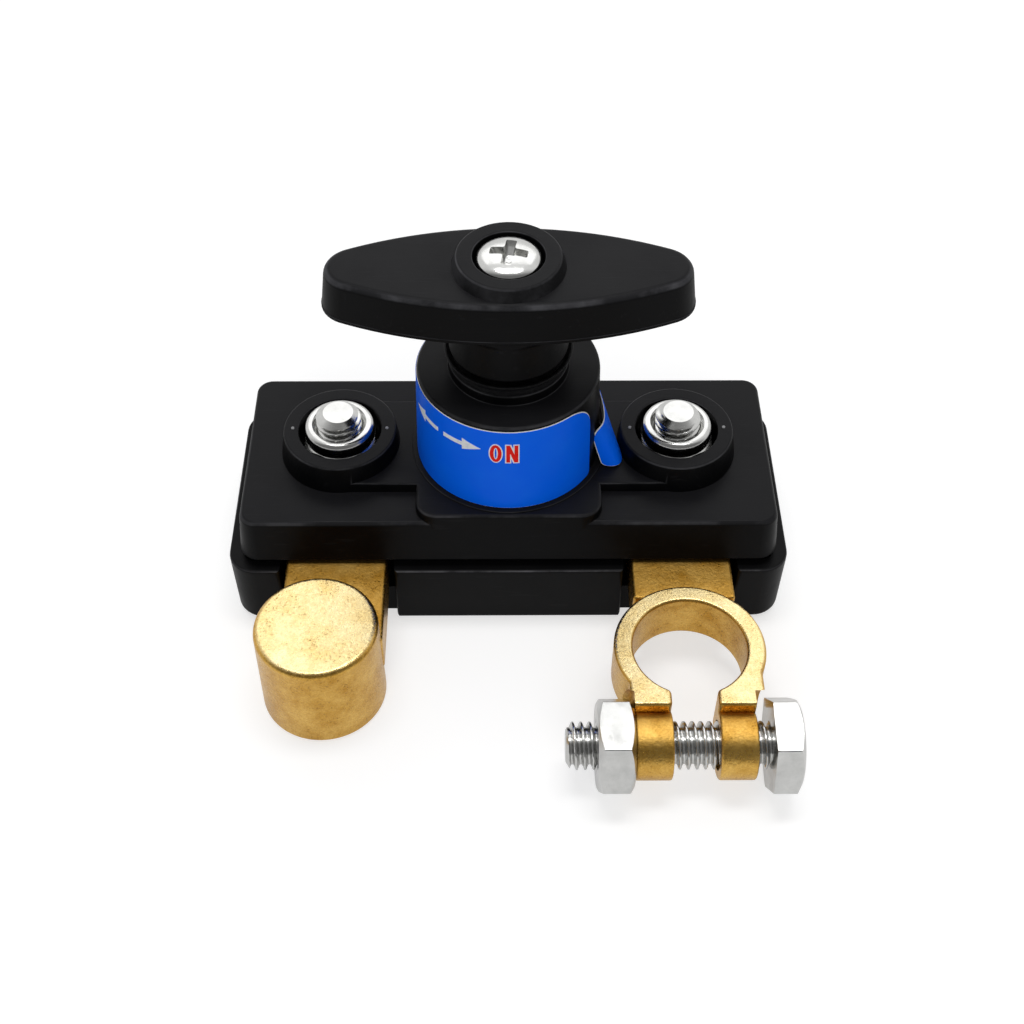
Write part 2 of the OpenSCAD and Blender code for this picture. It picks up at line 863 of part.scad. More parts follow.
module contact_spring() {
    sides = 6;
    steps = 20;
    count = spring_coils * steps;
    coil_r = (flange_d - spring_wire) / 2 - 2.5;
    low = spring_low + spring_wire / 2;
    rise = flange_low - spring_low - spring_wire;
    points = [for (k = [0:count]) each coil_ring(360 * k / steps, coil_r, low + rise * k / count,
                                                 spring_wire, sides)];
    walls = [for (k = [0:count - 1], i = [0:sides - 1])
        let (j = (i + 1) % sides)
        [k * sides + i, (k + 1) * sides + i, (k + 1) * sides + j, k * sides + j]];
    ends = [[for (i = [0:sides - 1]) i], [for (i = [sides - 1:-1:0]) count * sides + i]];
    color(steel)
        polyhedron(points, concat(walls, ends));
}

// Handle

// Outline of the bar: two long arcs that run tangent into the round ends
function bar_outline(l, w, e) =
    let (x = l / 2 - e,
         r = (x * x + w * w / 4 - e * e) / (w - 2 * e),
         a = atan2(x, r - w / 2),
         side = [for (k = [-10:10]) let (t = a * k / 10) [r * sin(t), r * cos(t) - r + w / 2]],
         tip = [for (k = [1:9]) let (t = (90 - a) * (1 - k / 5)) [x + e * cos(t), e * sin(t)]])
    concat(side, tip, [for (q = side) -q], [for (q = tip) -q]);

module bar_slab(z, ends, sides) {
    translate([0, 0, z])
        linear_extrude(skin)
            polygon(bar_outline(handle_l - 2 * ends, handle_w - 2 * sides, handle_end - sides));
}

// The round neck, with a fillet under the bar that doesn't stand out past its sides
module neck() {
    r = neck_d / 2;
    f = neck_fillet;
    translate([0, 0, neck_z])
        rotate_extrude()
            polygon([[0, 0], [r - neck_edge, 0], [r, neck_edge], [r, neck_h + parting_h / 2],
                     [0, neck_h + parting_h / 2]]);
    intersection() {
        translate([0, 0, bar_under_z - f])
            rotate_extrude()
                polygon(concat([[0, -over], [r, -over]],
                               [for (t = [0:15:90]) [r + f * (1 - cos(t)), f * sin(t)]],
                               [[r + f, f + parting_h / 2], [0, f + parting_h / 2]]));
        translate([0, 0, neck_z])
            linear_extrude(neck_h + parting_h)
                polygon(bar_outline(handle_l - 2 * under_edge, handle_w - 2 * under_edge,
                                    handle_end - under_edge));
    }
}

module handle() {
    step = parting_step;
    low = 0.3 * handle_round;
    color(black)
        difference() {
            union() {
                hull() {
                    bar_slab(bar_under_z, under_edge, under_edge);
                    bar_slab(bar_under_z + under_edge, 0, 0);
                    bar_slab(bar_under_z + parting_h, 0, 0);
                }
                hull() {
                    bar_slab(bar_under_z + parting_h / 2, step, step);
                    bar_slab(bar_top_z - handle_round, step + handle_end_draft, step + handle_draft);
                    bar_slab(bar_top_z - low, step + handle_end_draft + low,
                             step + handle_draft + low);
                    bar_slab(bar_top_z - skin, step + handle_end_draft + handle_round,
                             step + handle_draft + handle_round);
                }
                neck();
                translate([0, 0, bar_top_z])
                    rotate_extrude()
                        polygon([[0, -over], [cap_d / 2 + cap_slope() * over, -over],
                                 [cap_d / 2 - cap_taper / 2, cap_h], [0, cap_h]]);
            }
            translate([0, 0, screw_seat_z])
                cylinder(h = screw_recess_h + over, d = screw_head_d + 2 * screw_gap);
            cylinder(h = cap_z, d = screw_d + 2 * hole_fit);
            square_peg(drive_w + 2 * fit, neck_z - over, drive_h + clear + over);
        }
}

function cap_slope() = cap_taper / 2 / cap_h;

module handle_screw() {
    r = screw_head_d / 2;
    color(steel)
        difference() {
            union() {
                translate([0, 0, screw_seat_z])
                    rotate_extrude()
                        polygon([[0, 0], [r, 0], [r, screw_head_h * 0.6],
                                 [r * 0.95, screw_head_h * 0.76], [r * 0.78, screw_head_h * 0.92],
                                 [r * 0.48, screw_head_h], [0, screw_head_h]]);
                translate([0, 0, screw_seat_z - screw_l])
                    cylinder(h = screw_l, d = screw_d);
            }
            translate([0, 0, screw_seat_z + screw_head_h - cross_h])
                for (a = [0, 90])
                    rotate([0, 0, cross_turn + a])
                        translate([-cross_l / 2, -cross_w / 2, 0])
                            cube([cross_l, cross_w, cross_h + over]);
        }
}

// Clamp bolt and nut

// Turns a piece drawn along +Z so that it runs along +X, with a corner raised by angle
module along_bolt(x, angle) {
    translate([x, bolt_axis_y, bolt_z])
        rotate([angle, 0, 0])
            rotate([0, 90, 0])
                rotate([0, 0, 30])
                    children();
}

module clamp_bolt() {
    color(steel) {
        along_bolt(head_x, head_turn)
            hexagon(hex_w, head_h, hex_w / cos(30) + over, false);
        translate([head_x + skin, bolt_axis_y, bolt_z])
            rotate([0, -90, 0])
                rod(thread_d, bolt_l + skin);
    }
}

module clamp_nut() {
    color(steel)
        difference() {
            along_bolt(nut_x, nut_turn)
                hexagon(hex_w, nut_h, hex_w / cos(30) + over, true);
            along_bolt(nut_x - over, nut_turn)
                cylinder(h = nut_h + 2 * over, d = thread_d + 2 * running);
        }
}

base_housing();
top_cover();
label();
post_terminal();
clamp_terminal();
contact_tip(-1);  // contact_tip_left
contact_tip(1);  // contact_tip_right
stud(-1);  // stud_left
stud(1);  // stud_right
stud_washer(-1);  // stud_washer_left
stud_washer(1);  // stud_washer_right
stud_nut(-1);  // stud_nut_left
stud_nut(1);  // stud_nut_right
case_screw(-1, -1);  // case_screw_1
case_screw(1, -1);  // case_screw_2
case_screw(-1, 1);  // case_screw_3
case_screw(1, 1);  // case_screw_4
dust_seal();
spindle();
contact_bridge();
contact_spring();
handle();
handle_screw();
clamp_bolt();
clamp_nut();
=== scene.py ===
# Battery cut-off switch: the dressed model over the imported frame. Sizes are in millimetres.
import math
import bmesh
import bpy
from mathutils import Matrix, Vector


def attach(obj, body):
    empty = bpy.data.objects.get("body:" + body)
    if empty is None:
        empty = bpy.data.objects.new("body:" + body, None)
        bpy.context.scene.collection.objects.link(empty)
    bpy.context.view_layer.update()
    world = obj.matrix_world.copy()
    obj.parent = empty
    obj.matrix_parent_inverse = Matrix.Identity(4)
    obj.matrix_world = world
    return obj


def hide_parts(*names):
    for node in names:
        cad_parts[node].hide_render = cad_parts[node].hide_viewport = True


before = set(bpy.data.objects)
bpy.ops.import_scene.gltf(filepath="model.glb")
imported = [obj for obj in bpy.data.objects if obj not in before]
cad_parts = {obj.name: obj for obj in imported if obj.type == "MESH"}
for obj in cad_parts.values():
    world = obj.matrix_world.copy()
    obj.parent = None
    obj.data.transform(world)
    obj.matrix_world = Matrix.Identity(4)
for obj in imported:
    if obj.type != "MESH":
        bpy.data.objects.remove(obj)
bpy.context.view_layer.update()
mm = 0.001

# Where the main parts stand, and the levels up the switch
layout = {
    "studX": 29.75, "barX": 30.3, "postX": 32.3, "postY": 35.4, "ringY": 37.2,
    "boltY": 52.4, "boltZ": 8.6, "seamLow": 14.0, "seamHigh": 15.6, "deckTop": 24.4,
    "bandTop": 26.2, "bossTop": 29.6, "recessFloor": 22.6, "towerTop": 45.2, "collarTop": 47.2,
    "neckLow": 50.2, "handleUnder": 58.6, "handleTop": 66.4, "capTop": 68.5, "screwSeat": 65.1,
    "barLow": 6.7, "barTop": 14.7, "ceiling": 21.4,
}


# ---- shared helpers

def linearColour(hexText):
    parts = [int(hexText[i:i + 2], 16) / 255 for i in (1, 3, 5)]
    return [p / 12.92 if p <= 0.04045 else ((p + 0.055) / 1.055) ** 2.4 for p in parts] + [1.0]


def addNode(tree, kind, settings, inputs):
    node = tree.nodes.new(kind)
    for key, value in settings.items():
        setattr(node, key, value)
    for key, value in inputs.items():
        if isinstance(value, bpy.types.Node):
            tree.links.new(value.outputs[0], node.inputs[key])
        elif isinstance(value, bpy.types.NodeSocket):
            tree.links.new(value, node.inputs[key])
        else:
            node.inputs[key].default_value = value
    return node


def softenCorners(corners, steps=5):
    # corners are (across, up, radius); each inner corner becomes an arc
    path = []
    for i, (across, up, radius) in enumerate(corners):
        here = Vector((across, up))
        if radius <= 0 or i == 0 or i == len(corners) - 1:
            path.append((across, up))
            continue
        back = Vector(corners[i - 1][:2]) - here
        ahead = Vector(corners[i + 1][:2]) - here
        opening = back.angle(ahead)
        if opening > math.pi - 0.02:
            path.append((across, up))
            continue
        cut = min(radius / math.tan(opening / 2), 0.48 * back.length, 0.48 * ahead.length)
        reach = cut * math.tan(opening / 2)
        back.normalize()
        ahead.normalize()
        centre = here + (back + ahead).normalized() * (reach / math.sin(opening / 2))
        start = here + back * cut - centre
        end = here + ahead * cut - centre
        sweep = start.angle_signed(end)
        for k in range(steps + 1):
            turned = start.copy()
            turned.rotate(Matrix.Rotation(-sweep * k / steps, 2))
            path.append(tuple(centre + turned))
    return path


def shapeFromFaces(name, points, faces):
    mesh = bpy.data.meshes.new(name)
    mesh.from_pydata([Vector(p) * mm for p in points], [], faces)
    shape = bpy.data.objects.new(name, mesh)
    bpy.context.scene.collection.objects.link(shape)
    tidy = bmesh.new()
    tidy.from_mesh(mesh)
    bmesh.ops.remove_doubles(tidy, verts=tidy.verts, dist=1e-7)
    bmesh.ops.recalc_face_normals(tidy, faces=tidy.faces)
    tidy.to_mesh(mesh)
    tidy.free()
    return shape


def skinRings(name, rings, joined=False):
    # rings of equal count, one after the other; joined closes the last on the first
    count = len(rings[0])
    points = [p for ring in rings for p in ring]
    last = len(rings) if joined else len(rings) - 1
    faces = []
    for k in range(last):
        low, high = k * count, (k + 1) % len(rings) * count
        for i in range(count):
            j = (i + 1) % count
            faces.append((low + i, low + j, high + j, high + i))
    if not joined:
        faces.append(tuple(reversed(range(count))))
        faces.append(tuple(range((len(rings) - 1) * count, len(rings) * count)))
    return shapeFromFaces(name, points, faces)


def lathe(name, profile, centre=(0, 0), sides=96, joined=False):
    # profile is (radius, height); a radius of 0 closes on the axis
    rings = [[(centre[0] + r * math.cos(math.tau * i / sides),
               centre[1] + r * math.sin(math.tau * i / sides), z) for i in range(sides)]
             for r, z in profile]
    return skinRings(name, rings, joined)


def roundedOutline(length, width, corner, steps=9):
    corner = min(corner, 0.49 * length, 0.49 * width)
    outline = []
    for sx, sy, start in ((1, 1, 0), (-1, 1, 90), (-1, -1, 180), (1, -1, 270)):
        for k in range(steps + 1):
            a = math.radians(start + 90 * k / steps)
            outline.append((sx * (length / 2 - corner) + corner * math.cos(a),
                            sy * (width / 2 - corner) + corner * math.sin(a)))
    return outline


def roundedStack(name, length, width, corner, profile, joined=False, steps=9):
    # profile is (inset, height) up the sides of a rounded rectangle
    rings = []
    for inset, z in profile:
        outline = roundedOutline(length - 2 * inset, width - 2 * inset, max(corner - inset, 0.05), steps)
        rings.append([(x, y, z) for x, y in outline])
    return skinRings(name, rings, joined)


def insetOutline(outline, inset):
    moved = []
    count = len(outline)
    for i, (x, y) in enumerate(outline):
        before, after = outline[i - 1], outline[(i + 1) % count]
        a = Vector((x - before[0], y - before[1])).normalized()
        b = Vector((after[0] - x, after[1] - y)).normalized()
        inward = Vector((-a.y - b.y, a.x + b.x)).normalized()
        moved.append((x + inward.x * inset / max(inward.dot(Vector((-a.y, a.x))), 0.35),
                      y + inward.y * inset / max(inward.dot(Vector((-a.y, a.x))), 0.35)))
    return moved


def edgeArcs(low, high, lowEdge, highEdge, steps=5):
    # (inset, height) up a wall whose two edges are quarter rounds
    quarter = [math.pi / 2 * k / steps for k in range(steps + 1)]
    return ([(lowEdge * (1 - math.sin(a)), low + lowEdge * (1 - math.cos(a))) for a in quarter]
            + [(highEdge * (1 - math.cos(a)), high - highEdge * (1 - math.sin(a))) for a in quarter])


def roundedBlock(name, low, high, edge, steps=4):
    # a box with every edge rounded, built up along Y
    length, height = high[0] - low[0], high[2] - low[2]
    middle = ((low[0] + high[0]) / 2, (low[2] + high[2]) / 2)
    rings = []
    for inset, y in edgeArcs(low[1], high[1], edge, edge, steps):
        outline = roundedOutline(length - 2 * inset, height - 2 * inset, max(edge - inset, 0.02), steps)
        rings.append([(middle[0] + x, y, middle[1] + z) for x, z in outline])
    return skinRings(name, rings)


def joinShapes(name, shapes):
    together = bmesh.new()
    for shape in shapes:
        together.from_mesh(shape.data)
    mesh = bpy.data.meshes.new(name)
    together.to_mesh(mesh)
    together.free()
    for shape in shapes:
        bpy.data.objects.remove(shape)
    joined = bpy.data.objects.new(name, mesh)
    bpy.context.scene.collection.objects.link(joined)
    return joined


def placeShape(shape, matrix):
    # the matrix goes into the mesh, so the object itself stays at the origin
    shape.data.transform(matrix)
    return shape


def alongX(x, y, z, turn=0.0):
    # a shape drawn up Z is laid along +X from that point, turned about its own axis
    return (Matrix.Translation(Vector((x, y, z)) * mm) @ Matrix.Rotation(math.radians(turn), 4, "X")
            @ Matrix.Rotation(math.pi / 2, 4, "Y"))


def bakeModifiers(shape):
    graph = bpy.context.evaluated_depsgraph_get()
    mesh = bpy.data.meshes.new_from_object(shape.evaluated_get(graph))
    shape.modifiers.clear()
    old, shape.data = shape.data, mesh
    bpy.data.meshes.remove(old)
    return shape


def combine(shape, tool, operation):
    change = shape.modifiers.new("combine", "BOOLEAN")
    change.operation, change.solver, change.object = operation, "EXACT", tool
    bakeModifiers(shape)
    bpy.data.objects.remove(tool)
    return shape


def finishPiece(shape, body, material, nodes=(), sharpAngle=32):
    mesh = shape.data
    tidy = bmesh.new()
    tidy.from_mesh(mesh)
    bmesh.ops.remove_doubles(tidy, verts=tidy.verts, dist=2e-7)
    bmesh.ops.dissolve_degenerate(tidy, edges=tidy.edges, dist=1e-7)
    bmesh.ops.recalc_face_normals(tidy, faces=tidy.faces)
    tidy.to_mesh(mesh)
    tidy.free()
    mesh.materials.clear()
    mesh.materials.append(material)
    mesh.shade_smooth()
    mesh.set_sharp_from_angle(angle=math.radians(sharpAngle))
    flats = shape.modifiers.new("flats", "WEIGHTED_NORMAL")
    flats.keep_sharp = True
    bakeModifiers(shape)
    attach(shape, body)
    if nodes:
        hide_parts(*nodes)
    print("made", shape.name, len(shape.data.polygons), "faces")
    return shape


# ---- materials, each with a real surface behind it

def newFinish(name, settings):
    # a material with only its output and a Principled shader, and the shader's plain values
    finish = bpy.data.materials.new(name)
    finish.use_nodes = True
    tree = finish.node_tree
    tree.nodes.clear()
    shader = addNode(tree, "ShaderNodeBsdfPrincipled", {}, settings)
    addNode(tree, "ShaderNodeOutputMaterial", {}, {"Surface": shader})
    place = addNode(tree, "ShaderNodeTexCoord", {}, {}).outputs["Object"]
    return finish, tree, shader, place


def perMillimetre(size):
    # noise scale whose features are about that many millimetres across
    return 1.0 / (size * mm)


# the "edge" tone is not wear: it is a painted highlight laid on the rounds of the upper edges
mouldedValues = {"body": "#050506", "worn": "#111112", "dust": "#1b1b1d", "edge": "#3a3a3c", "cloudSize": 9.0, "grainSize": 0.35,
                 "grainDepth": 0.012, "scratchLength": 7.0, "scratchWidth": 0.22,
                 "roughLow": 0.30, "roughHigh": 0.48}


def mouldedAbs(name, values):
    # moulded ABS with a fine spark-eroded grain: near black, satin, dusty on top, with cloudy wear, thin scuffs and a
    # painted highlight along the upper edge rounds
    finish, tree, shader, place = newFinish(name, {"IOR": 1.53, "Specular IOR Level": 0.07})
    cloud = addNode(tree, "ShaderNodeTexNoise", {}, {"Vector": place, "Scale": perMillimetre(values["cloudSize"]),
                    "Detail": 5.0, "Roughness": 0.6})
    grain = addNode(tree, "ShaderNodeTexNoise", {}, {"Vector": place, "Scale": perMillimetre(values["grainSize"]),
                    "Detail": 3.0, "Roughness": 0.55})
    lines = []
    for turn, shift in ((0.35, 0.0), (-0.9, 3.1), (1.9, 7.7)):
        # long thin noise laid at three angles reads as light scratches
        laid = addNode(tree, "ShaderNodeMapping", {}, {"Vector": place, "Rotation": (0.3, 0.2, turn),
                       "Location": (shift, shift, shift),
                       "Scale": (perMillimetre(values["scratchLength"]), perMillimetre(values["scratchWidth"]),
                                 perMillimetre(values["scratchWidth"] * 6))})
        thread = addNode(tree, "ShaderNodeTexNoise", {}, {"Vector": laid, "Scale": 1.0, "Detail": 1.0})
        lines.append(addNode(tree, "ShaderNodeMapRange", {"interpolation_type": "SMOOTHSTEP"},
                     {0: thread, 1: 0.69, 2: 0.76, 3: 0.0, 4: 1.0}))
    twoLines = addNode(tree, "ShaderNodeMath", {"operation": "MAXIMUM"}, {0: lines[0], 1: lines[1]})
    allLines = addNode(tree, "ShaderNodeMath", {"operation": "MAXIMUM"}, {0: twoLines, 1: lines[2]})
    patches = addNode(tree, "ShaderNodeMapRange", {}, {0: cloud, 1: 0.42, 2: 0.62, 3: 0.25, 4: 1.0})
    scuff = addNode(tree, "ShaderNodeMath", {"operation": "MULTIPLY"}, {0: allLines, 1: patches})
    share = addNode(tree, "ShaderNodeMapRange", {}, {0: cloud, 1: 0.35, 2: 0.75, 3: 0.0, 4: 0.45})
    worn = addNode(tree, "ShaderNodeMath", {"operation": "ADD", "use_clamp": True}, {0: share, 1: scuff})
    colour = addNode(tree, "ShaderNodeMix", {"data_type": "RGBA"},
                     {"Factor": worn, 6: linearColour(values["body"]), 7: linearColour(values["worn"])})
    # fine dust lies only on the faces that look up
    facing = addNode(tree, "ShaderNodeNewGeometry", {}, {}).outputs["Normal"]
    upward = addNode(tree, "ShaderNodeSeparateXYZ", {}, {0: facing}).outputs["Z"]
    lying = addNode(tree, "ShaderNodeMapRange", {}, {0: upward, 1: 0.55, 2: 0.98, 3: 0.0, 4: 1.0})
    film = addNode(tree, "ShaderNodeMath", {"operation": "MULTIPLY_ADD"}, {0: scuff, 1: 0.9, 2: 0.75})
    settled = addNode(tree, "ShaderNodeMath", {"operation": "MULTIPLY", "use_clamp": True}, {0: lying, 1: film})
    dusted = addNode(tree, "ShaderNodeMix", {"data_type": "RGBA"},
                     {"Factor": settled, 6: colour.outputs[2], 7: linearColour(values["dust"])})
    # the rounds of the upper edges, which face neither up nor out, get a painted highlight in the paler edge tone, in
    # patches
    rising = addNode(tree, "ShaderNodeMapRange", {}, {0: upward, 1: 0.25, 2: 0.5, 3: 0.0, 4: 1.0})
    ending = addNode(tree, "ShaderNodeMapRange", {}, {0: upward, 1: 0.8, 2: 0.95, 3: 1.0, 4: 0.0})
    paintedHighlight = addNode(tree, "ShaderNodeMath", {"operation": "MULTIPLY"}, {0: rising, 1: ending})
    paintedEdgeHighlight = addNode(tree, "ShaderNodeMath", {"operation": "MULTIPLY"}, {0: paintedHighlight, 1: patches})
    edgeHighlighted = addNode(tree, "ShaderNodeMix", {"data_type": "RGBA"},
                    {"Factor": paintedEdgeHighlight, 6: dusted.outputs[2], 7: linearColour(values["edge"])})
    tree.links.new(edgeHighlighted.outputs[2], shader.inputs["Base Color"])
    rough = addNode(tree, "ShaderNodeMapRange", {}, {0: cloud, 1: 0.3, 2: 0.7,
                    3: values["roughLow"], 4: values["roughHigh"]})
    tree.links.new(rough.outputs[0], shader.inputs["Roughness"])
    height = addNode(tree, "ShaderNodeMath", {"operation": "SUBTRACT"}, {0: grain, 1: scuff})
    bump = addNode(tree, "ShaderNodeBump", {}, {"Strength": 0.55, "Distance": values["grainDepth"] * mm,
                   "Height": height})
    tree.links.new(bump.outputs[0], shader.inputs["Normal"])
    return finish


# the pale top tones are a painted highlight for the flat tops of the terminals, not rubbed metal
brassValues = {"bright": "#f0c66c", "deep": "#cc9a3c", "paintedTopBright": "#f8e9b8", "paintedTopDeep": "#ecd08c",
               "tarnish": "#7a5214", "paintedTopFrom": 14.85, "grain": "#a8823c", "grainShare": 0.42, "grainSize": 0.42, "patchSize": 5.0, "skinSize": 0.55, "pitSize": 1.3, "speckSize": 0.32,
               "roughLow": 0.22, "roughHigh": 0.36}


def castBrass(name, values):
    # sand-cast brass, tumbled: deep gold on its sides, a painted pale highlight on its flat tops, slightly uneven, with
    # dark pits
    finish, tree, shader, place = newFinish(name, {"Metallic": 1.0})
    patch = addNode(tree, "ShaderNodeTexNoise", {}, {"Vector": place, "Scale": perMillimetre(values["patchSize"]),
                    "Detail": 6.0, "Roughness": 0.62})
    castSkin = addNode(tree, "ShaderNodeTexNoise", {}, {"Vector": place, "Scale": perMillimetre(values["skinSize"]),
                       "Detail": 4.0, "Roughness": 0.6})
    pitCells = addNode(tree, "ShaderNodeTexVoronoi", {"feature": "F1"}, {"Vector": place,
                       "Scale": perMillimetre(values["pitSize"]), "Randomness": 1.0})
    pitRound = addNode(tree, "ShaderNodeMapRange", {"interpolation_type": "SMOOTHSTEP"},
                       {0: pitCells, 1: 0.07, 2: 0.19, 3: 1.0, 4: 0.0})
    pitWhere = addNode(tree, "ShaderNodeMapRange", {}, {0: patch, 1: 0.54, 2: 0.64, 3: 0.0, 4: 0.9})
    pits = addNode(tree, "ShaderNodeMath", {"operation": "MULTIPLY"}, {0: pitRound, 1: pitWhere})
    share = addNode(tree, "ShaderNodeMapRange", {}, {0: patch, 1: 0.32, 2: 0.68, 3: 0.0, 4: 1.0})
    tone = addNode(tree, "ShaderNodeMix", {"data_type": "RGBA"},
                   {"Factor": share, 6: linearColour(values["bright"]), 7: linearColour(values["deep"])})
    # painted highlight: the flat faces above the set height take these pale tones in place of reflected light
    paintedHighlight = addNode(tree, "ShaderNodeMix", {"data_type": "RGBA"},
                     {"Factor": share, 6: linearColour(values["paintedTopBright"]), 7: linearColour(values["paintedTopDeep"])})
    facing = addNode(tree, "ShaderNodeNewGeometry", {}, {}).outputs["Normal"]
    upward = addNode(tree, "ShaderNodeSeparateXYZ", {}, {0: facing}).outputs["Z"]
    level = addNode(tree, "ShaderNodeSeparateXYZ", {}, {0: place}).outputs["Z"]
    flat = addNode(tree, "ShaderNodeMapRange", {}, {0: upward, 1: 0.75, 2: 0.98, 3: 0.0, 4: 1.0})
    raised = addNode(tree, "ShaderNodeMapRange", {}, {0: level, 1: values["paintedTopFrom"] * mm,
                     2: (values["paintedTopFrom"] + 0.2) * mm, 3: 0.0, 4: 1.0})
    top = addNode(tree, "ShaderNodeMath", {"operation": "MULTIPLY"}, {0: flat, 1: raised})
    faces = addNode(tree, "ShaderNodeMix", {"data_type": "RGBA"}, {"Factor": top, 6: tone.outputs[2], 7: paintedHighlight.outputs[2]})
    specks = addNode(tree, "ShaderNodeTexNoise", {}, {"Vector": place, "Scale": perMillimetre(values["speckSize"]), "Detail": 2.0})
    speckRound = addNode(tree, "ShaderNodeMapRange", {"interpolation_type": "SMOOTHSTEP"}, {0: specks, 1: 0.6, 2: 0.69, 3: 0.0, 4: 0.5})
    speckWhere = addNode(tree, "ShaderNodeMapRange", {}, {0: patch, 1: 0.45, 2: 0.58, 3: 0.15, 4: 1.0})
    fineSpecks = addNode(tree, "ShaderNodeMath", {"operation": "MULTIPLY"}, {0: speckRound, 1: speckWhere})
    marks = addNode(tree, "ShaderNodeMath", {"operation": "MAXIMUM"}, {0: pits, 1: fineSpecks})
    # the sand's own grain, light and dark by turns
    grain = addNode(tree, "ShaderNodeTexNoise", {}, {"Vector": place, "Scale": perMillimetre(values["grainSize"]),
                    "Detail": 5.0, "Roughness": 0.7})
    grained = addNode(tree, "ShaderNodeMapRange", {}, {0: grain, 1: 0.3, 2: 0.7, 3: 0.0, 4: values["grainShare"]})
    sanded = addNode(tree, "ShaderNodeMix", {"data_type": "RGBA", "blend_type": "MULTIPLY"},
                     {"Factor": grained, 6: faces.outputs[2], 7: linearColour(values["grain"])})
    stained = addNode(tree, "ShaderNodeMix", {"data_type": "RGBA"},
                      {"Factor": marks, 6: sanded.outputs[2], 7: linearColour(values["tarnish"])})
    tree.links.new(stained.outputs[2], shader.inputs["Base Color"])
    rough = addNode(tree, "ShaderNodeMapRange", {}, {0: castSkin, 1: 0.3, 2: 0.7,
                    3: values["roughLow"], 4: values["roughHigh"]})
    # the bars lie low, below the painted top highlight: as cast they are duller than the tops
    dull = addNode(tree, "ShaderNodeMath", {"operation": "SUBTRACT", "use_clamp": True}, {0: flat, 1: raised})
    duller = addNode(tree, "ShaderNodeMath", {"operation": "MULTIPLY_ADD"}, {0: dull, 1: 0.22, 2: rough})
    tree.links.new(duller.outputs[0], shader.inputs["Roughness"])
    ripple = addNode(tree, "ShaderNodeMath", {"operation": "MULTIPLY_ADD"}, {0: patch, 1: 1.6, 2: castSkin})
    sand = addNode(tree, "ShaderNodeMath", {"operation": "MULTIPLY_ADD"}, {0: grain, 1: 0.6, 2: ripple})
    relief = addNode(tree, "ShaderNodeMath", {"operation": "SUBTRACT"}, {0: sand, 1: marks})
    bump = addNode(tree, "ShaderNodeBump", {}, {"Strength": 0.8, "Distance": 0.07 * mm, "Height": relief})
    tree.links.new(bump.outputs[0], shader.inputs["Normal"])
    return finish


zincValues = {"bright": "#dcdcda", "dull": "#b8b8b6", "cloudSize": 2.6, "lineLength": 5.0,
              "lineWidth": 0.12, "roughLow": 0.13, "roughHigh": 0.27}


def zincSteel(name, values):
    # zinc-plated steel off a cold header: bright grey, faint drawn lines and dull clouds
    finish, tree, shader, place = newFinish(name, {"Metallic": 1.0})
    cloud = addNode(tree, "ShaderNodeTexNoise", {}, {"Vector": place, "Scale": perMillimetre(values["cloudSize"]),
                    "Detail": 4.0, "Roughness": 0.6})
    laid = addNode(tree, "ShaderNodeMapping", {}, {"Vector": place, "Rotation": (0.1, 0.25, 0.15),
                   "Scale": (perMillimetre(values["lineWidth"]), perMillimetre(values["lineWidth"] * 1.5),
                             perMillimetre(values["lineLength"]))})
    drawn = addNode(tree, "ShaderNodeTexNoise", {}, {"Vector": laid, "Scale": 1.0, "Detail": 2.0})
    colour = addNode(tree, "ShaderNodeMix", {"data_type": "RGBA"},
                     {"Factor": cloud, 6: linearColour(values["bright"]), 7: linearColour(values["dull"])})
    tree.links.new(colour.outputs[2], shader.inputs["Base Color"])
    both = addNode(tree, "ShaderNodeMath", {"operation": "MULTIPLY_ADD"}, {0: drawn, 1: 0.5, 2: cloud})
    rough = addNode(tree, "ShaderNodeMapRange", {}, {0: both, 1: 0.5, 2: 1.0,
                    3: values["roughLow"], 4: values["roughHigh"]})
    tree.links.new(rough.outputs[0], shader.inputs["Roughness"])
    bump = addNode(tree, "ShaderNodeBump", {}, {"Strength": 0.35, "Distance": 0.015 * mm, "Height": drawn})
    tree.links.new(bump.outputs[0], shader.inputs["Normal"])
    return finish


vinylValues = {"blue": "#0068ff", "faded": "#0a72ff", "creaseSize": 4.0, "grainSize": 0.25}


def labelVinyl(name, values):
    # satin printed vinyl: an even strong blue with slight waves where it was pressed on
    finish, tree, shader, place = newFinish(name, {"Roughness": 0.42, "IOR": 1.48, "Coat Weight": 0.03,
                                                   "Coat Roughness": 0.25, "Specular IOR Level": 0.1})
    wave = addNode(tree, "ShaderNodeTexNoise", {}, {"Vector": place, "Scale": perMillimetre(values["creaseSize"]),
                   "Detail": 3.0})
    grain = addNode(tree, "ShaderNodeTexNoise", {}, {"Vector": place, "Scale": perMillimetre(values["grainSize"]),
                    "Detail": 2.0})
    share = addNode(tree, "ShaderNodeMapRange", {}, {0: wave, 1: 0.35, 2: 0.7, 3: 0.0, 4: 0.4})
    colour = addNode(tree, "ShaderNodeMix", {"data_type": "RGBA"},
                     {"Factor": share, 6: linearColour(values["blue"]), 7: linearColour(values["faded"])})
    tree.links.new(colour.outputs[2], shader.inputs["Base Color"])
    relief = addNode(tree, "ShaderNodeMath", {"operation": "MULTIPLY_ADD"}, {0: grain, 1: 0.15, 2: wave})
    bump = addNode(tree, "ShaderNodeBump", {}, {"Strength": 0.35, "Distance": 0.05 * mm, "Height": relief})
    tree.links.new(bump.outputs[0], shader.inputs["Normal"])
    return finish


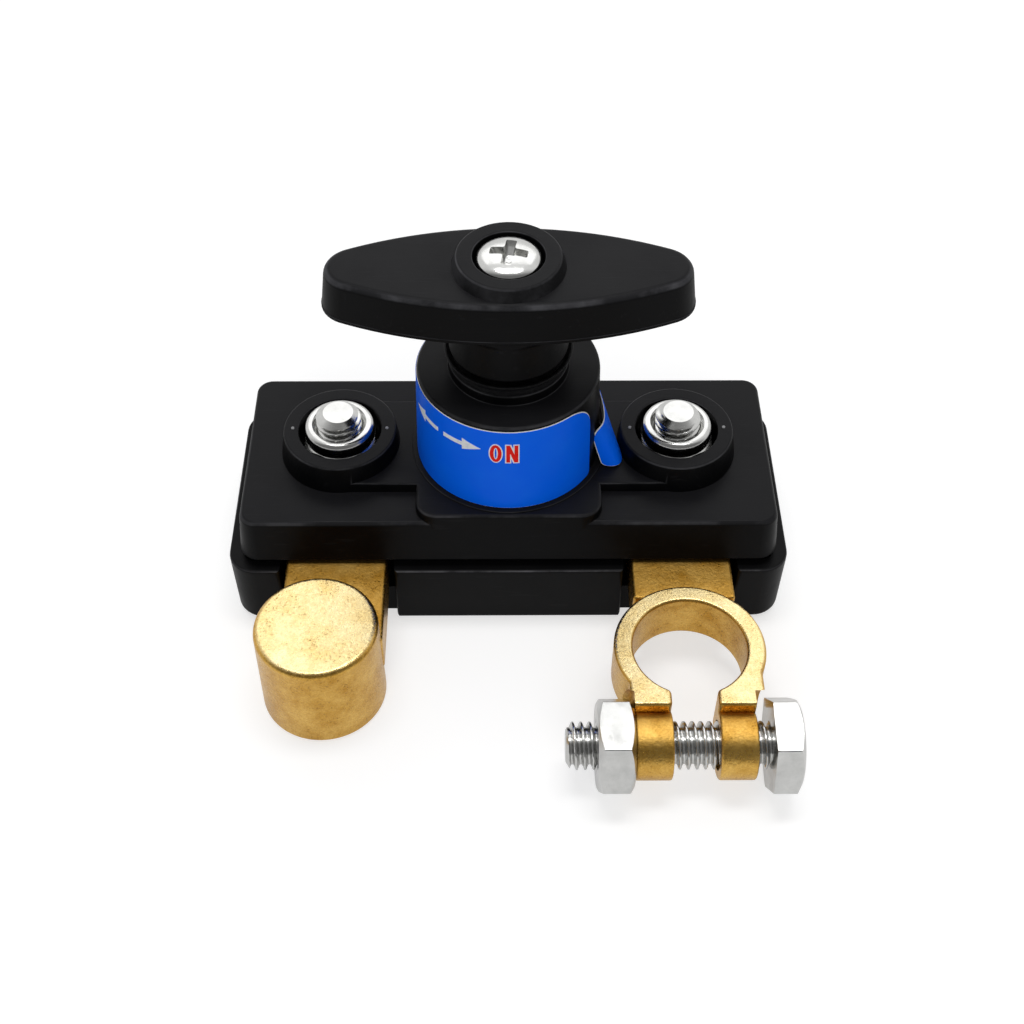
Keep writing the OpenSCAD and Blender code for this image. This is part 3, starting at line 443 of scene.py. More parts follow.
def printInk(name, body, worn):
    # screen ink on the vinyl: flat, a little broken where it is rubbed
    finish, tree, shader, place = newFinish(name, {"Roughness": 0.5, "IOR": 1.48, "Specular IOR Level": 0.2})
    rub = addNode(tree, "ShaderNodeTexNoise", {}, {"Vector": place, "Scale": perMillimetre(0.6), "Detail": 4.0})
    share = addNode(tree, "ShaderNodeMapRange", {}, {0: rub, 1: 0.5, 2: 0.72, 3: 0.0, 4: 0.6})
    colour = addNode(tree, "ShaderNodeMix", {"data_type": "RGBA"},
                     {"Factor": share, 6: linearColour(body), 7: linearColour(worn)})
    tree.links.new(colour.outputs[2], shader.inputs["Base Color"])
    return finish


def nitrileRubber(name):
    # moulded nitrile: black, matt, faintly dusty
    finish, tree, shader, place = newFinish(name, {"Roughness": 0.55, "IOR": 1.5, "Specular IOR Level": 0.2})
    dust = addNode(tree, "ShaderNodeTexNoise", {}, {"Vector": place, "Scale": perMillimetre(0.8), "Detail": 5.0})
    share = addNode(tree, "ShaderNodeMapRange", {}, {0: dust, 1: 0.45, 2: 0.75, 3: 0.0, 4: 1.0})
    colour = addNode(tree, "ShaderNodeMix", {"data_type": "RGBA"},
                     {"Factor": share, 6: linearColour("#08080a"), 7: linearColour("#171718")})
    tree.links.new(colour.outputs[2], shader.inputs["Base Color"])
    bump = addNode(tree, "ShaderNodeBump", {}, {"Strength": 0.3, "Distance": 0.02 * mm, "Height": dust})
    tree.links.new(bump.outputs[0], shader.inputs["Normal"])
    return finish


coverPlastic = mouldedAbs("moulded ABS cover", mouldedValues)
# each "edge" tone here is the painted highlight on that part's upper edge rounds
basePlastic = mouldedAbs("moulded ABS base", {**mouldedValues, "body": "#040405", "worn": "#0e0e0f", "dust": "#0d0d0e", "edge": "#565659",
                                              "roughLow": 0.34, "roughHigh": 0.5})
handlePlastic = mouldedAbs("moulded glass-filled nylon", {**mouldedValues, "body": "#050506", "worn": "#121213", "dust": "#1e1e20", "edge": "#464649",
                                                          "roughLow": 0.36, "roughHigh": 0.52})
# the pips' light grey is a painted glint on the small domes, not the plastic's own colour
pipGlintPlastic = mouldedAbs("moulded ABS pips, painted glint", {**mouldedValues, "body": "#8e8e90", "worn": "#a4a4a6", "dust": "#98989a",
                                             "edge": "#8a8a8c", "roughLow": 0.2, "roughHigh": 0.3})
spindlePlastic = mouldedAbs("moulded acetal", {**mouldedValues, "body": "#0a0a0b", "worn": "#131314"})
terminalBrass = castBrass("cast brass", brassValues)
bridgeBrass = castBrass("stamped brass", {**brassValues, "roughLow": 0.3, "roughHigh": 0.42})
platedSteel = zincSteel("zinc-plated steel", zincValues)
springSteel = zincSteel("drawn spring steel", {**zincValues, "bright": "#a8a8a8", "dull": "#858585"})
contactSilver = zincSteel("silver alloy", {**zincValues, "bright": "#e6e4de", "dull": "#cfcdc8"})
blueVinyl = labelVinyl("printed vinyl", vinylValues)
whiteInk = printInk("white screen ink", "#f4f6fa", "#c9d6ee")
redInk = printInk("red screen ink", "#f0160c", "#d81c12")
labelPaper = printInk("label backing paper", "#efede6", "#dad7cf")
sealRubber = nitrileRubber("moulded nitrile rubber")
print("materials ready")


# ---- base housing: an open tray with a lip, two seats for the terminal bars and four pillars

baseSizes = {"length": 99.2, "width": 40.0, "height": 14.0, "corner": 5.0, "draft": 0.2, "footRound": 1.4,
             "lipRound": 0.45, "wall": 2.6, "floor": 2.8, "seatTop": 6.55, "barWidth": 17.7, "slotSide": 1.2,
             "barBack": 9.5, "pillar": 6.0, "pillarTop": 11.25, "screwX": 43.0, "screwY": 13.2,
             "screwBore": 3.4, "headBore": 5.9, "headDepth": 2.1, "studHead": 13.7, "studLow": 3.35,
             "seatSide": 1.3, "endRound": 0.8}


def frontNotch(x, s):
    # the opening in the front wall at a bar: its foot and its outer edges are rounded off
    half, foot = s["barWidth"] / 2 + s["slotSide"], s["footRound"]
    face, round = s["width"] / 2, s["endRound"]
    steps = [(s["wall"] - face, 0.0)]
    steps += [(round - face - round * math.sin(math.pi / 16 * k), round * (1 - math.cos(math.pi / 16 * k))) for k in range(9)]
    steps.append((-face - 3, round))
    rings = []
    for y, grown in steps:
        side = [(half + grown, s["height"] + 4)]
        side += [(half + grown + foot * (1 - math.cos(math.pi / 16 * k)), foot * (1 - math.sin(math.pi / 16 * k))) for k in range(9)]
        side.append((half + grown + foot, -1))
        rings.append([(x + across, y, z) for across, z in side] + [(x - across, y, z) for across, z in reversed(side)])
    return skinRings("notch", rings)


def makeBase(s):
    outside = softenCorners([(s["draft"] + 6, 0, 0), (s["draft"], 0, s["footRound"]),
                             (0, s["height"] - 1.2, 0.5), (0, s["height"], s["lipRound"]),
                             (s["wall"], s["height"], 0.2), (s["wall"], s["floor"], 0.5),
                             (s["wall"] + 3, s["floor"], 0)], 6)
    base = roundedStack("baseHousing", s["length"], s["width"], s["corner"], outside)
    for side in (-1, 1):
        x = side * layout["barX"]
        half = s["barWidth"] / 2 + s["slotSide"]
        reach = half + s["seatSide"]
        seat = roundedBlock("seat", (x - reach, 1.8 - s["width"] / 2, 1),
                            (x + reach, s["barBack"] + s["wall"], s["seatTop"]), 0.15)
        combine(base, seat, "UNION")
        channel = roundedBlock("channel", (x - half, -s["width"] / 2 - 3, s["seatTop"]),
                               (x + half, s["barBack"] + 0.3, s["height"] + 4), 0.3)
        combine(base, channel, "DIFFERENCE")
        combine(base, frontNotch(x, s), "DIFFERENCE")
        pocket = lathe("pocket", [(0, s["studLow"]), (s["studHead"] / 2, s["studLow"]),
                                  (s["studHead"] / 2, 20), (0, 20)], (side * layout["studX"], 0), 48)
        combine(base, pocket, "DIFFERENCE")
    for x in (-s["screwX"], s["screwX"]):
        for y in (-s["screwY"], s["screwY"]):
            pillar = lathe("pillar", [(0, 1), (s["pillar"] / 2, 1), (s["pillar"] / 2, s["pillarTop"]),
                                      (0, s["pillarTop"])], (x, y), 40)
            combine(base, pillar, "UNION")
            bore = softenCorners([(0, -1, 0), (s["headBore"] / 2 + 1.2, -1, 0), (s["headBore"] / 2, 0.2, 0.1),
                                  (s["headBore"] / 2, s["headDepth"], 0), (s["screwBore"] / 2, s["headDepth"], 0),
                                  (s["screwBore"] / 2, 15, 0), (0, 15, 0)])
            combine(base, lathe("bore", bore, (x, y), 40), "DIFFERENCE")
    return finishPiece(base, "housing", basePlastic, ["base_housing"])


makeBase(baseSizes)

# ---- top cover: skirt, raised band, tower with its collar, and two bosses with sunk recesses

coverSizes = {"length": 94.8, "width": 37.3, "corner": 3.65, "draft": 0.9, "edge": 0.9, "wall": 2.6,
              "bandWidth": 20.4, "bandDraft": 0.3, "bandEdge": 0.35, "padLength": 32.0, "padEdge": 0.6,
              "bossWidth": 19.8, "bossFlare": 1.6, "bossEdge": 0.45, "recess": 14.6, "studBore": 8.34,
              "tower": 31.0, "towerFlare": 1.0, "towerEdge": 0.6, "foot": 34.2, "footRise": 0.25, "collar": 20.4,
              "collarEdge": 0.35,
              "cavity": 24.8, "cavityTop": 42.0, "spindleBore": 15.32, "tongueLow": 11.4, "tongueThick": 1.6, "tongueLength": 93.7, "tongueWidth": 34.5}


def towerRadius(z):
    # the tower is a little wider at its foot
    share = (layout["towerTop"] - z) / (layout["towerTop"] - layout["bandTop"])
    return (coverSizes["tower"] + coverSizes["towerFlare"] * share) / 2


def makeCover(s):
    deck, band = layout["deckTop"], layout["bandTop"]
    skirt = softenCorners([(s["wall"] + 4, layout["ceiling"], 0), (s["wall"] + 0.7, layout["ceiling"], 0.6),
                           (s["wall"], layout["seamHigh"], 0), (0, layout["seamHigh"], 0.2),
                           (s["draft"], deck, s["edge"]), (s["draft"] + 5, deck, 0)], 7)
    cover = roundedStack("topCover", s["length"], s["width"], s["corner"], skirt)
    half = s["bandWidth"] / 2
    section = softenCorners([(-half - 1.2, deck - 1.5, 0), (-half - s["bandDraft"], deck - 1.5, 0),
                             (-half - s["bandDraft"], deck, 0), (-half, band, s["bandEdge"]),
                             (half, band, s["bandEdge"]), (half + s["bandDraft"], deck, 0),
                             (half + s["bandDraft"], deck - 1.5, 0), (half + 1.2, deck - 1.5, 0)], 5)[1:-1]
    reach = layout["studX"]
    ribbon = skinRings("band", [[(x, y, z) for y, z in section] for x in (-reach, 0, reach)])
    combine(cover, ribbon, "UNION")
    padWidth = s["width"] - 2 * s["draft"]
    pad = roundedStack("pad", s["padLength"], padWidth, s["corner"],
                       softenCorners([(-s["bandDraft"], deck - 1.4, 0), (0, band, s["padEdge"]),
                                      (4, band, 0)], 6))
    combine(cover, pad, "UNION")
    tongue = roundedStack("tongue", s["tongueLength"], s["tongueWidth"], 2.25,
                          [(0, s["tongueLow"]), (0, layout["ceiling"] + 0.5),
                           (s["tongueThick"], layout["ceiling"] + 0.5), (s["tongueThick"], s["tongueLow"])],
                          joined=True)
    for side in (-1, 1):
        gap = roundedBlock("gap", (side * layout["barX"] - 10.05, -25, 8), (side * layout["barX"] + 10.05, 0, 15), 0.2)
        combine(tongue, gap, "DIFFERENCE")
    combine(cover, tongue, "UNION")
    footTop = band + s["footRise"]
    tower = lathe("tower", softenCorners([(0, layout["ceiling"] + 0.2, 0), (s["foot"] / 2, layout["ceiling"] + 0.2, 0),
                  (s["foot"] / 2, footTop, 0.2), (towerRadius(footTop), footTop, 0.1),
                  (s["tower"] / 2, layout["towerTop"], s["towerEdge"]), (s["collar"] / 2, layout["towerTop"], 0.2),
                  (s["collar"] / 2, layout["collarTop"], s["collarEdge"]), (0, layout["collarTop"], 0)], 6),
                  sides=144)
    combine(cover, tower, "UNION")
    inside = lathe("inside", [(0, 10), (s["cavity"] / 2, 10), (s["cavity"] / 2, s["cavityTop"]),
                              (s["spindleBore"] / 2, s["cavityTop"]), (s["spindleBore"] / 2, 60), (0, 60)], sides=96)
    combine(cover, inside, "DIFFERENCE")
    for side in (-1, 1):
        at = (side * layout["studX"], 0)
        low, top = s["bossWidth"] / 2 + s["bossFlare"] / 2, s["bossWidth"] / 2
        boss = lathe("boss", softenCorners([(0, 15.1, 0), (top, 15.1, 0), (top, layout["ceiling"] + 1, 0),
                     (low, layout["ceiling"] + 1, 0), (low, deck, 0), (top, layout["bossTop"], s["bossEdge"]),
                     (0, layout["bossTop"], 0)], 6), at, 120)
        combine(cover, boss, "UNION")
        bore = lathe("bore", softenCorners([(0, 5, 0), (s["studBore"] / 2, 5, 0),
                     (s["studBore"] / 2, layout["recessFloor"], 0), (s["recess"] / 2, layout["recessFloor"], 0.4),
                     (s["recess"] / 2, layout["bossTop"], 0.3), (s["recess"] / 2 + 2, layout["bossTop"] + 0.001, 0),
                     (s["recess"] / 2 + 2, 40, 0), (0, 40, 0)], 5), at, 120)
        combine(cover, bore, "DIFFERENCE")
    return finishPiece(cover, "housing", coverPlastic, ["top_cover"])


makeCover(coverSizes)

pipSizes = {"offset": 8.3, "width": 0.62, "rise": 0.2, "root": 0.4}


def makePips(s):
    # small glossy pips on the bosses, left where the plastic flowed in; their light grey is a painted glint
    half, low, high = s["width"] / 2, layout["bossTop"] - s["root"], layout["bossTop"] + s["rise"]
    pips = [lathe("pip", softenCorners([(0, low, 0), (half, low, 0), (half, high, s["rise"]), (0, high, 0)], 5),
                  (side * layout["studX"] + shift, 0), 24)
            for side in (-1, 1) for shift in (-s["offset"], s["offset"])]
    return finishPiece(joinShapes("bossPips", pips), "housing", pipGlintPlastic)


makePips(pipSizes)

# ---- handle: a lens-shaped bar on a round neck, with a raised cap sunk for its screw

handleSizes = {"length": 60.6, "width": 20.8, "tip": 5.4, "underEdge": 0.3, "partingHeight": 0.7, "partingStep": 0.1,
               "sideLean": 0.2, "endLean": 0.9, "edge": 1.25, "capBase": 9.2, "capTop": 8.4, "capEdge": 0.55,
               "recess": 5.8, "recessEdge": 0.3, "screwBore": 2.7, "neck": 10.0, "neckEdge": 0.5,
               "neckFlare": 1.6, "drive": 9.3, "driveTop": 60.5, "sideSteps": 30, "tipSteps": 14}


def lensOutline(length, width, tip, sideSteps, tipSteps):
    # two long arcs that run tangent into round ends
    reach = length / 2 - tip
    sweepRadius = (reach ** 2 + width ** 2 / 4 - tip ** 2) / (width - 2 * tip)
    half = math.atan2(reach, sweepRadius - width / 2)
    right = []
    for k in range(1, tipSteps + 1):
        a = (math.pi / 2 - half) * (2 * k / (tipSteps + 1) - 1)
        right.append((reach + tip * math.cos(a), tip * math.sin(a)))
    back = []
    for k in range(sideSteps + 1):
        a = half * (1 - 2 * k / sideSteps)
        back.append((sweepRadius * math.sin(a), sweepRadius * math.cos(a) - sweepRadius + width / 2))
    return right + back + [(-x, -y) for x, y in right] + [(-x, -y) for x, y in back]


def outlineReach(outline, angle):
    # distance from the middle to the outline in that direction
    way = Vector((math.cos(angle), math.sin(angle)))
    for k, corner in enumerate(outline):
        start = Vector(outline[k - 1])
        edge = Vector(corner) - start
        slant = way.cross(edge)
        if abs(slant) > 1e-9:
            along, share = start.cross(edge) / slant, start.cross(way) / slant
            if along > 0 and 0 <= share <= 1:
                return along
    return 0.0


def makeHandle(s):
    under, top = layout["handleUnder"], layout["handleTop"]
    parting = under + s["partingHeight"]
    sides = softenCorners([(4, under, 0), (0, under, s["underEdge"]), (0, parting, 0.06),
                           (s["partingStep"], parting + 0.04, 0.04),
                           (s["partingStep"] + s["sideLean"], top, s["edge"]), (4, top, 0)], 7)
    rings = []
    for inset, z in sides:
        lean = (s["endLean"] - s["sideLean"]) * min(max((z - parting) / (top - parting), 0), 1)
        outline = lensOutline(s["length"] - 2 * (inset + lean), s["width"] - 2 * inset, s["tip"] - inset,
                              s["sideSteps"], s["tipSteps"])
        rings.append([(x, y, z) for x, y in outline])
    handle = skinRings("turnHandle", rings)
    cap = lathe("cap", softenCorners([(0, top - 2, 0), (s["capBase"], top - 2, 0), (s["capBase"], top, 0),
                (s["capTop"], layout["capTop"], s["capEdge"]), (0, layout["capTop"], 0)], 7), sides=120)
    combine(handle, cap, "UNION")
    flare = s["neckFlare"]
    rings = []
    levels = [(s["neck"] - s["neckEdge"] * (1 - math.sin(math.pi / 8 * k)),
               layout["neckLow"] + s["neckEdge"] * (1 - math.cos(math.pi / 8 * k))) for k in range(5)]
    levels += [(s["neck"] + flare * (1 - math.cos(math.pi / 20 * k)), under - flare + flare * math.sin(math.pi / 20 * k))
               for k in range(11)]
    levels.append((s["neck"] + flare, under + 0.35))
    outline = lensOutline(s["length"] - 0.7, s["width"] - 0.7, s["tip"] - 0.35, s["sideSteps"], s["tipSteps"])
    for radius, z in levels:
        ring = []
        for i in range(120):
            a = math.tau * i / 120
            r = min(radius, outlineReach(outline, a))  # the flare stops at the bar's side
            ring.append((r * math.cos(a), r * math.sin(a), z))
        rings.append(ring)
    combine(handle, skinRings("neck", rings), "UNION")
    seat = layout["screwSeat"]
    sink = lathe("sink", softenCorners([(0, 40, 0), (s["screwBore"], 40, 0), (s["screwBore"], seat, 0),
                 (s["recess"], seat, 0.2), (s["recess"], layout["capTop"], s["recessEdge"]),
                 (s["recess"] + 1.6, layout["capTop"] + 0.001, 0), (s["recess"] + 1.6, 80, 0), (0, 80, 0)], 5), sides=96)
    combine(handle, sink, "DIFFERENCE")
    half = s["drive"] / 2
    socket = roundedBlock("socket", (-half, -half, 45), (half, half, s["driveTop"]), 0.1)
    combine(handle, socket, "DIFFERENCE")
    return finishPiece(handle, "rotor", handlePlastic, ["handle"])


makeHandle(handleSizes)

# ---- cross-head screws: one in the handle, four in the base

screwSizes = {"head": 10.6, "headHeight": 4.2, "shank": 5.0, "length": 14.0, "rim": 2.5, "crossLength": 6.1,
              "crossWidth": 1.7, "crossDepth": 2.1, "turn": -10.0}


def crossScrew(name, s):
    # drawn with the underside of its head at height 0
    r, h = s["head"] / 2, s["headHeight"]
    crown = [(r * math.cos(math.pi / 2 * k / 14), s["rim"] + (h - s["rim"]) * math.sin(math.pi / 2 * k / 14))
             for k in range(15)]
    crown[-1] = (0, h)
    profile = [(0, -s["length"]), (s["shank"] / 2, -s["length"]), (s["shank"] / 2, 0), (r - 0.12, 0), (r, 0.15)]
    screw = lathe(name, profile + crown, sides=72)
    for turn in (s["turn"], s["turn"] + 90):
        # each arm narrows towards the bottom of the cross
        arm = []
        for grow, z in ((1.0, h + 0.5), (1.0, h - 0.35), (0.86, h - 0.6 * s["crossDepth"]), (0.45, h - s["crossDepth"])):
            outline = roundedOutline(s["crossLength"] * grow, s["crossWidth"] * (0.55 + 0.45 * grow), 0.3, 3)
            arm.append([(x, y, z) for x, y in outline])
        arm = skinRings("arm", arm)
        combine(screw, placeShape(arm, Matrix.Rotation(math.radians(turn), 4, "Z")), "DIFFERENCE")
    core = lathe("core", [(0, h - s["crossDepth"] - 0.25), (0.5, h - s["crossDepth"]), (1.35, h - 0.4), (1.5, h + 1), (0, h + 1)],
                 sides=24)
    return combine(screw, core, "DIFFERENCE")


handleScrew = placeShape(crossScrew("handleScrew", screwSizes), Matrix.Translation((0, 0, layout["screwSeat"] * mm)))
finishPiece(handleScrew, "rotor", platedSteel, ["handle_screw"], 30)

caseScrewSizes = {"head": 5.6, "headHeight": 1.8, "shank": 3.0, "length": 19.0, "rim": 0.5, "crossLength": 3.0,
                  "crossWidth": 0.75, "crossDepth": 1.2, "turn": 20.0}


def screwLayoutTree():
    # sets one screw at each corner of a rectangle
    tree = bpy.data.node_groups.new("screwLayout", "GeometryNodeTree")
    for socketName, kind in (("Spacing X", "NodeSocketFloat"), ("Spacing Y", "NodeSocketFloat"),
                             ("Screw", "NodeSocketObject"), ("Finish", "NodeSocketMaterial")):
        tree.interface.new_socket(socketName, in_out="INPUT", socket_type=kind)
    tree.interface.new_socket("Geometry", in_out="OUTPUT", socket_type="NodeSocketGeometry")
    given = addNode(tree, "NodeGroupInput", {}, {}).outputs
    corners = addNode(tree, "GeometryNodeMeshGrid", {}, {"Size X": given["Spacing X"], "Size Y": given["Spacing Y"],
                      "Vertices X": 2, "Vertices Y": 2})
    model = addNode(tree, "GeometryNodeObjectInfo", {}, {"Object": given["Screw"]})
    turned = addNode(tree, "FunctionNodeRandomValue", {"data_type": "FLOAT_VECTOR"},
                     {"Min": (0, 0, 0), "Max": (0, 0, 1.5), "Seed": 4})
    copies = addNode(tree, "GeometryNodeInstanceOnPoints", {}, {"Points": corners,
                     "Instance": model.outputs["Geometry"], "Rotation": turned})
    real = addNode(tree, "GeometryNodeRealizeInstances", {}, {"Geometry": copies})
    coated = addNode(tree, "GeometryNodeSetMaterial", {}, {"Geometry": real, "Material": given["Finish"]})
    addNode(tree, "NodeGroupOutput", {}, {"Geometry": coated})
    return tree


def runTree(name, tree, values):
    # an empty mesh carries the tree, and its result becomes a plain mesh
    holder = bpy.data.objects.new(name, bpy.data.meshes.new(name))
    bpy.context.scene.collection.objects.link(holder)
    nodes = holder.modifiers.new("nodes", "NODES")
    nodes.node_group = tree
    for item in tree.interface.items_tree:
        if item.in_out == "INPUT" and item.name in values:
            nodes[item.identifier] = values[item.name]
    return bakeModifiers(holder)


# the heads look down, so the pattern screw is turned over before it is copied
caseScrew = placeShape(crossScrew("caseScrew", caseScrewSizes), Matrix.Rotation(math.pi, 4, "X"))
caseScrews = runTree("caseScrews", screwLayoutTree(), {"Spacing X": 2 * baseSizes["screwX"] * mm,
                     "Spacing Y": 2 * baseSizes["screwY"] * mm, "Screw": caseScrew, "Finish": platedSteel})
bpy.data.objects.remove(caseScrew)
placeShape(caseScrews, Matrix.Translation((0, 0, 2.1 * mm)))
finishPiece(caseScrews, "housing", platedSteel, ["case_screw_1", "case_screw_2", "case_screw_3", "case_screw_4"], 30)

# ---- dust seal round the handle's stem

sealSizes = {"bore": 7.9, "width": 20.0, "height": 1.1, "lipWidth": 21.8, "lipRise": 1.4, "lipThick": 0.5}


def makeSeal(s):
    low, r = layout["collarTop"], s["width"] / 2
    lipTop, lip = low + s["height"] + s["lipRise"], s["lipWidth"] / 2
    flank = softenCorners([(s["bore"], low, 0), (r, low, 0.15), (r, low + s["height"], 0.5),
                           (lip, lipTop, 0.2), (lip - s["lipThick"], lipTop, 0.2),
                           (r - s["lipThick"], low + s["height"] + 0.1, 0.5), (s["bore"], low + s["height"], 0)], 5)
    seal = lathe("dustSeal", flank, sides=120, joined=True)
    return finishPiece(seal, "housing", sealRubber, ["dust_seal"])


makeSeal(sealSizes)

# ---- printed label round the tower: white paper under a blue film, its far end lifted off

labelSizes = {"low": 26.5, "high": 44.5, "begin": -29.5, "lift": -322.0, "corner": 6.0, "lowCorner": 0.8,
              "flapCorner": 1.8, "slant": (30.0, 10.3), "flapLow": ((17.3, 4.5), (24.0, -8.5), (16.4, -6.0)),
              "flapHigh": ((14.6, 5.5), (13.6, -1.5), (12.6, -4.1)), "pinch": 0.6, "paper": 0.12, "film": 0.22,
              "border": 0.13, "inkRise": 0.02, "redRise": 0.04}


def labelPlan(s, border):
    # places along the low and the high edge, clockwise from the front corner to the free end
    reach = (s["low"] + s["high"]) / 2
    degree = math.radians(1) * towerRadius(reach)
    turns = [s["begin"] - (border + s["corner"] * (1 - math.cos(math.pi / 2 * k / 14))) / degree for k in range(15)]
    turns += [turns[-1] + (s["lift"] - turns[-1]) * k / 120 for k in range(1, 121)]
    rows = []
    for turn in turns:
        way = Vector((math.cos(math.radians(turn)), math.sin(math.radians(turn))))
        rows.append((way * towerRadius(s["low"]), way * towerRadius(s["high"])))
    roots = rows[-1]
    for k in range(1, 37):
        t = math.sin(math.pi / 2 * k / 36) * (1 - border / 14)
        weights = ((1 - t) ** 3, 3 * t * (1 - t) ** 2, 3 * t * t * (1 - t), t ** 3)
        pair = []
        for root, path in zip(roots, (s["flapLow"], s["flapHigh"])):
            pair.append(sum((w * Vector(p) for w, p in zip(weights, (root, *path))), Vector((0, 0))))
        rows.append(tuple(pair))
    return rows


def cornerDrop(radius, reach):
    # how far a round corner has fallen at that distance from the end
    into = max(radius - reach, 0.0)
    return radius - math.sqrt(max(radius ** 2 - into ** 2, 0.0))


def labelLayer(name, s, inner, outer, border):
    rows, levels = labelPlan(s, border), 14
    run = [0.0]
    for before, after in zip(rows, rows[1:]):
        run.append(run[-1] + ((after[0] - before[0]).length + (after[1] - before[1]).length) / 2)
    flapStart = len(rows) - 37

    def spot(i, z):
        share = (z - s["low"]) / (s["high"] - s["low"])
        place = rows[i][0].lerp(rows[i][1], share)
        lifted = max(i - flapStart, 0) / 36
        return Vector((place.x - s["pinch"] * 4 * share * (1 - share) * lifted ** 2, place.y))

    rings = []
    for i, reach in enumerate(run):
        left = run[-1] - reach
        # the free end is cut on a slant, from high on the tower down to its tip
        cut = s["slant"][1] * max(1 - left / s["slant"][0], 0)
        top = s["high"] - border - max(cornerDrop(s["corner"], reach), cornerDrop(s["flapCorner"], left) + cut)
        foot = s["low"] + border + max(cornerDrop(s["lowCorner"], reach), cornerDrop(0.6, left))
        sides = ([], [])
        for k in range(levels + 1):
            z = foot + (top - foot) * k / levels
            ahead = spot(min(i + 1, len(rows) - 1), z) - spot(max(i - 1, 0), z)
            outward = Vector((-ahead.y, ahead.x)).normalized()
            for side, offset in zip(sides, (inner, outer)):
                place = spot(i, z) + outward * offset
                side.append((place.x, place.y, z))
        rings.append(sides[0] + sides[1][::-1])
    return skinRings(name, rings)


def wrapStrip(name, pairs, turn, z, rise, joined=False):
    # pairs of (across, up) on the label, about a mark's middle, as a thin strip on the film
    inner = labelSizes["film"] + rise - 0.03
    rings = []
    for near, far in pairs:
        ring = []
        for (across, up), offset in ((near, inner), (far, inner), (far, inner + 0.05), (near, inner + 0.05)):
            radius = towerRadius(z + up) + offset
            a = math.radians(turn) + across / towerRadius(z)
            ring.append((radius * math.cos(a), radius * math.sin(a), z + up))
        rings.append(ring)
    return skinRings(name, rings, joined)


arrowSizes = {"turns": (-138.0, -133.3), "z": 40.2, "shaft": 3.8, "thick": 0.85, "head": 3.3, "headHeight": 2.5, "steps": 6}


def makeArrow(turn, way, s):
    # a turning arrow that runs to the left (-1) or to the right (1) of its tail
    shaft = [((way * s["shaft"] * k / s["steps"], -s["thick"] / 2), (way * s["shaft"] * k / s["steps"], s["thick"] / 2))
             for k in range(s["steps"] + 1)]
    head = []
    for k in range(s["steps"] + 1):
        across = way * (s["shaft"] + s["head"] * k / s["steps"])
        half = s["headHeight"] / 2 * max(1 - k / s["steps"], 0.03)
        head.append(((across, -half), (across, half)))
    return [wrapStrip("arrow", pairs, turn, s["z"], labelSizes["inkRise"]) for pairs in (shaft, head)]


signSizes = {"turn": -93.0, "z": 39.7, "letter": 1.95, "height": 3.9, "stroke": 0.62, "space": 0.75, "outline": 0.2}


def makeOn(s, grow, rise):
    # the word ON in plain strokes; grow gives the wider ground that shows as its outline
    half, tall = s["letter"] / 2, s["height"] / 2
    left, right = -(s["space"] / 2 + half), s["space"] / 2 + half
    ring = []
    for k in range(40):
        c, n = math.cos(math.tau * k / 40), math.sin(math.tau * k / 40)
        hole = max(half - s["stroke"] - grow, 0.02), max(tall - s["stroke"] - grow, 0.02)
        ring.append(((left + (half + grow) * c, (tall + grow) * n), (left + hole[0] * c, hole[1] * n)))
    strokes = [wrapStrip("ring", ring, s["turn"], s["z"], rise, True)]
    high = tall + grow
    for x in (right - half, right + half - s["stroke"]):
        bar = [((x - grow, up), (x + s["stroke"] + grow, up)) for up in (-high, high)]
        strokes.append(wrapStrip("bar", bar, s["turn"], s["z"], rise))
    slope = [((right - half - grow, high), (right - half + s["stroke"] + grow, high)),
             ((right + half - s["stroke"] - grow, -high), (right + half + grow, -high))]
    strokes.append(wrapStrip("slope", slope, s["turn"], s["z"], rise))
    return strokes


def makeLabel(s):
    film = labelLayer("towerLabel", s, s["paper"], s["film"], s["border"])
    finishPiece(film, "housing", blueVinyl, ["label"], 50)
    finishPiece(labelLayer("labelPaper", s, 0.02, s["paper"], 0.0), "housing", labelPaper, [], 50)
    marks = [strip for turn, way in zip(arrowSizes["turns"], (-1, 1)) for strip in makeArrow(turn, way, arrowSizes)]
    marks += makeOn(signSizes, signSizes["outline"], s["inkRise"])
    finishPiece(joinShapes("labelMarks", marks), "housing", whiteInk, [], 50)
    finishPiece(joinShapes("labelWord", makeOn(signSizes, 0.0, s["redRise"])), "housing", redInk, [], 50)


makeLabel(labelSizes)

# ---- post terminal: a tapered post on a bar

postSizes = {"width": 20.9, "flare": 0.6, "low": 0.4, "top": 19.1, "edge": 1.1, "barWidth": 17.7, "barEdge": 0.6,
             "barBack": 9.5, "armThick": 4.6, "armWidth": 13.0, "armGap": 7.6, "armTop": 14.0, "studBore": 8.34,
             "tipBore": 2.5, "tipX": 10.7}


def terminalBar(side, front, s):
    # the bar runs from the outside to under its stud, and an arm goes on to the contact
    x, half = side * layout["barX"], s["barWidth"] / 2
    bar = roundedBlock("bar", (x - half, -front, layout["barLow"]), (x + half, s["barBack"], layout["barTop"]), s["barEdge"])
    near, far = side * s["armGap"], side * (layout["barX"] - half + 1)
    arm = roundedBlock("arm", (min(near, far), -s["armWidth"] / 2, s["armTop"] - s["armThick"]),
                       (max(near, far), s["armWidth"] / 2, s["armTop"]), 0.3)
    return combine(bar, arm, "UNION")


def boreTerminal(terminal, side, s):
    for x, width in ((layout["studX"], s["studBore"]), (s["tipX"], s["tipBore"])):
        hole = lathe("hole", [(0, 0), (width / 2, 0), (width / 2, 20), (0, 20)], (side * x, 0), 48)
        combine(terminal, hole, "DIFFERENCE")
    return terminal


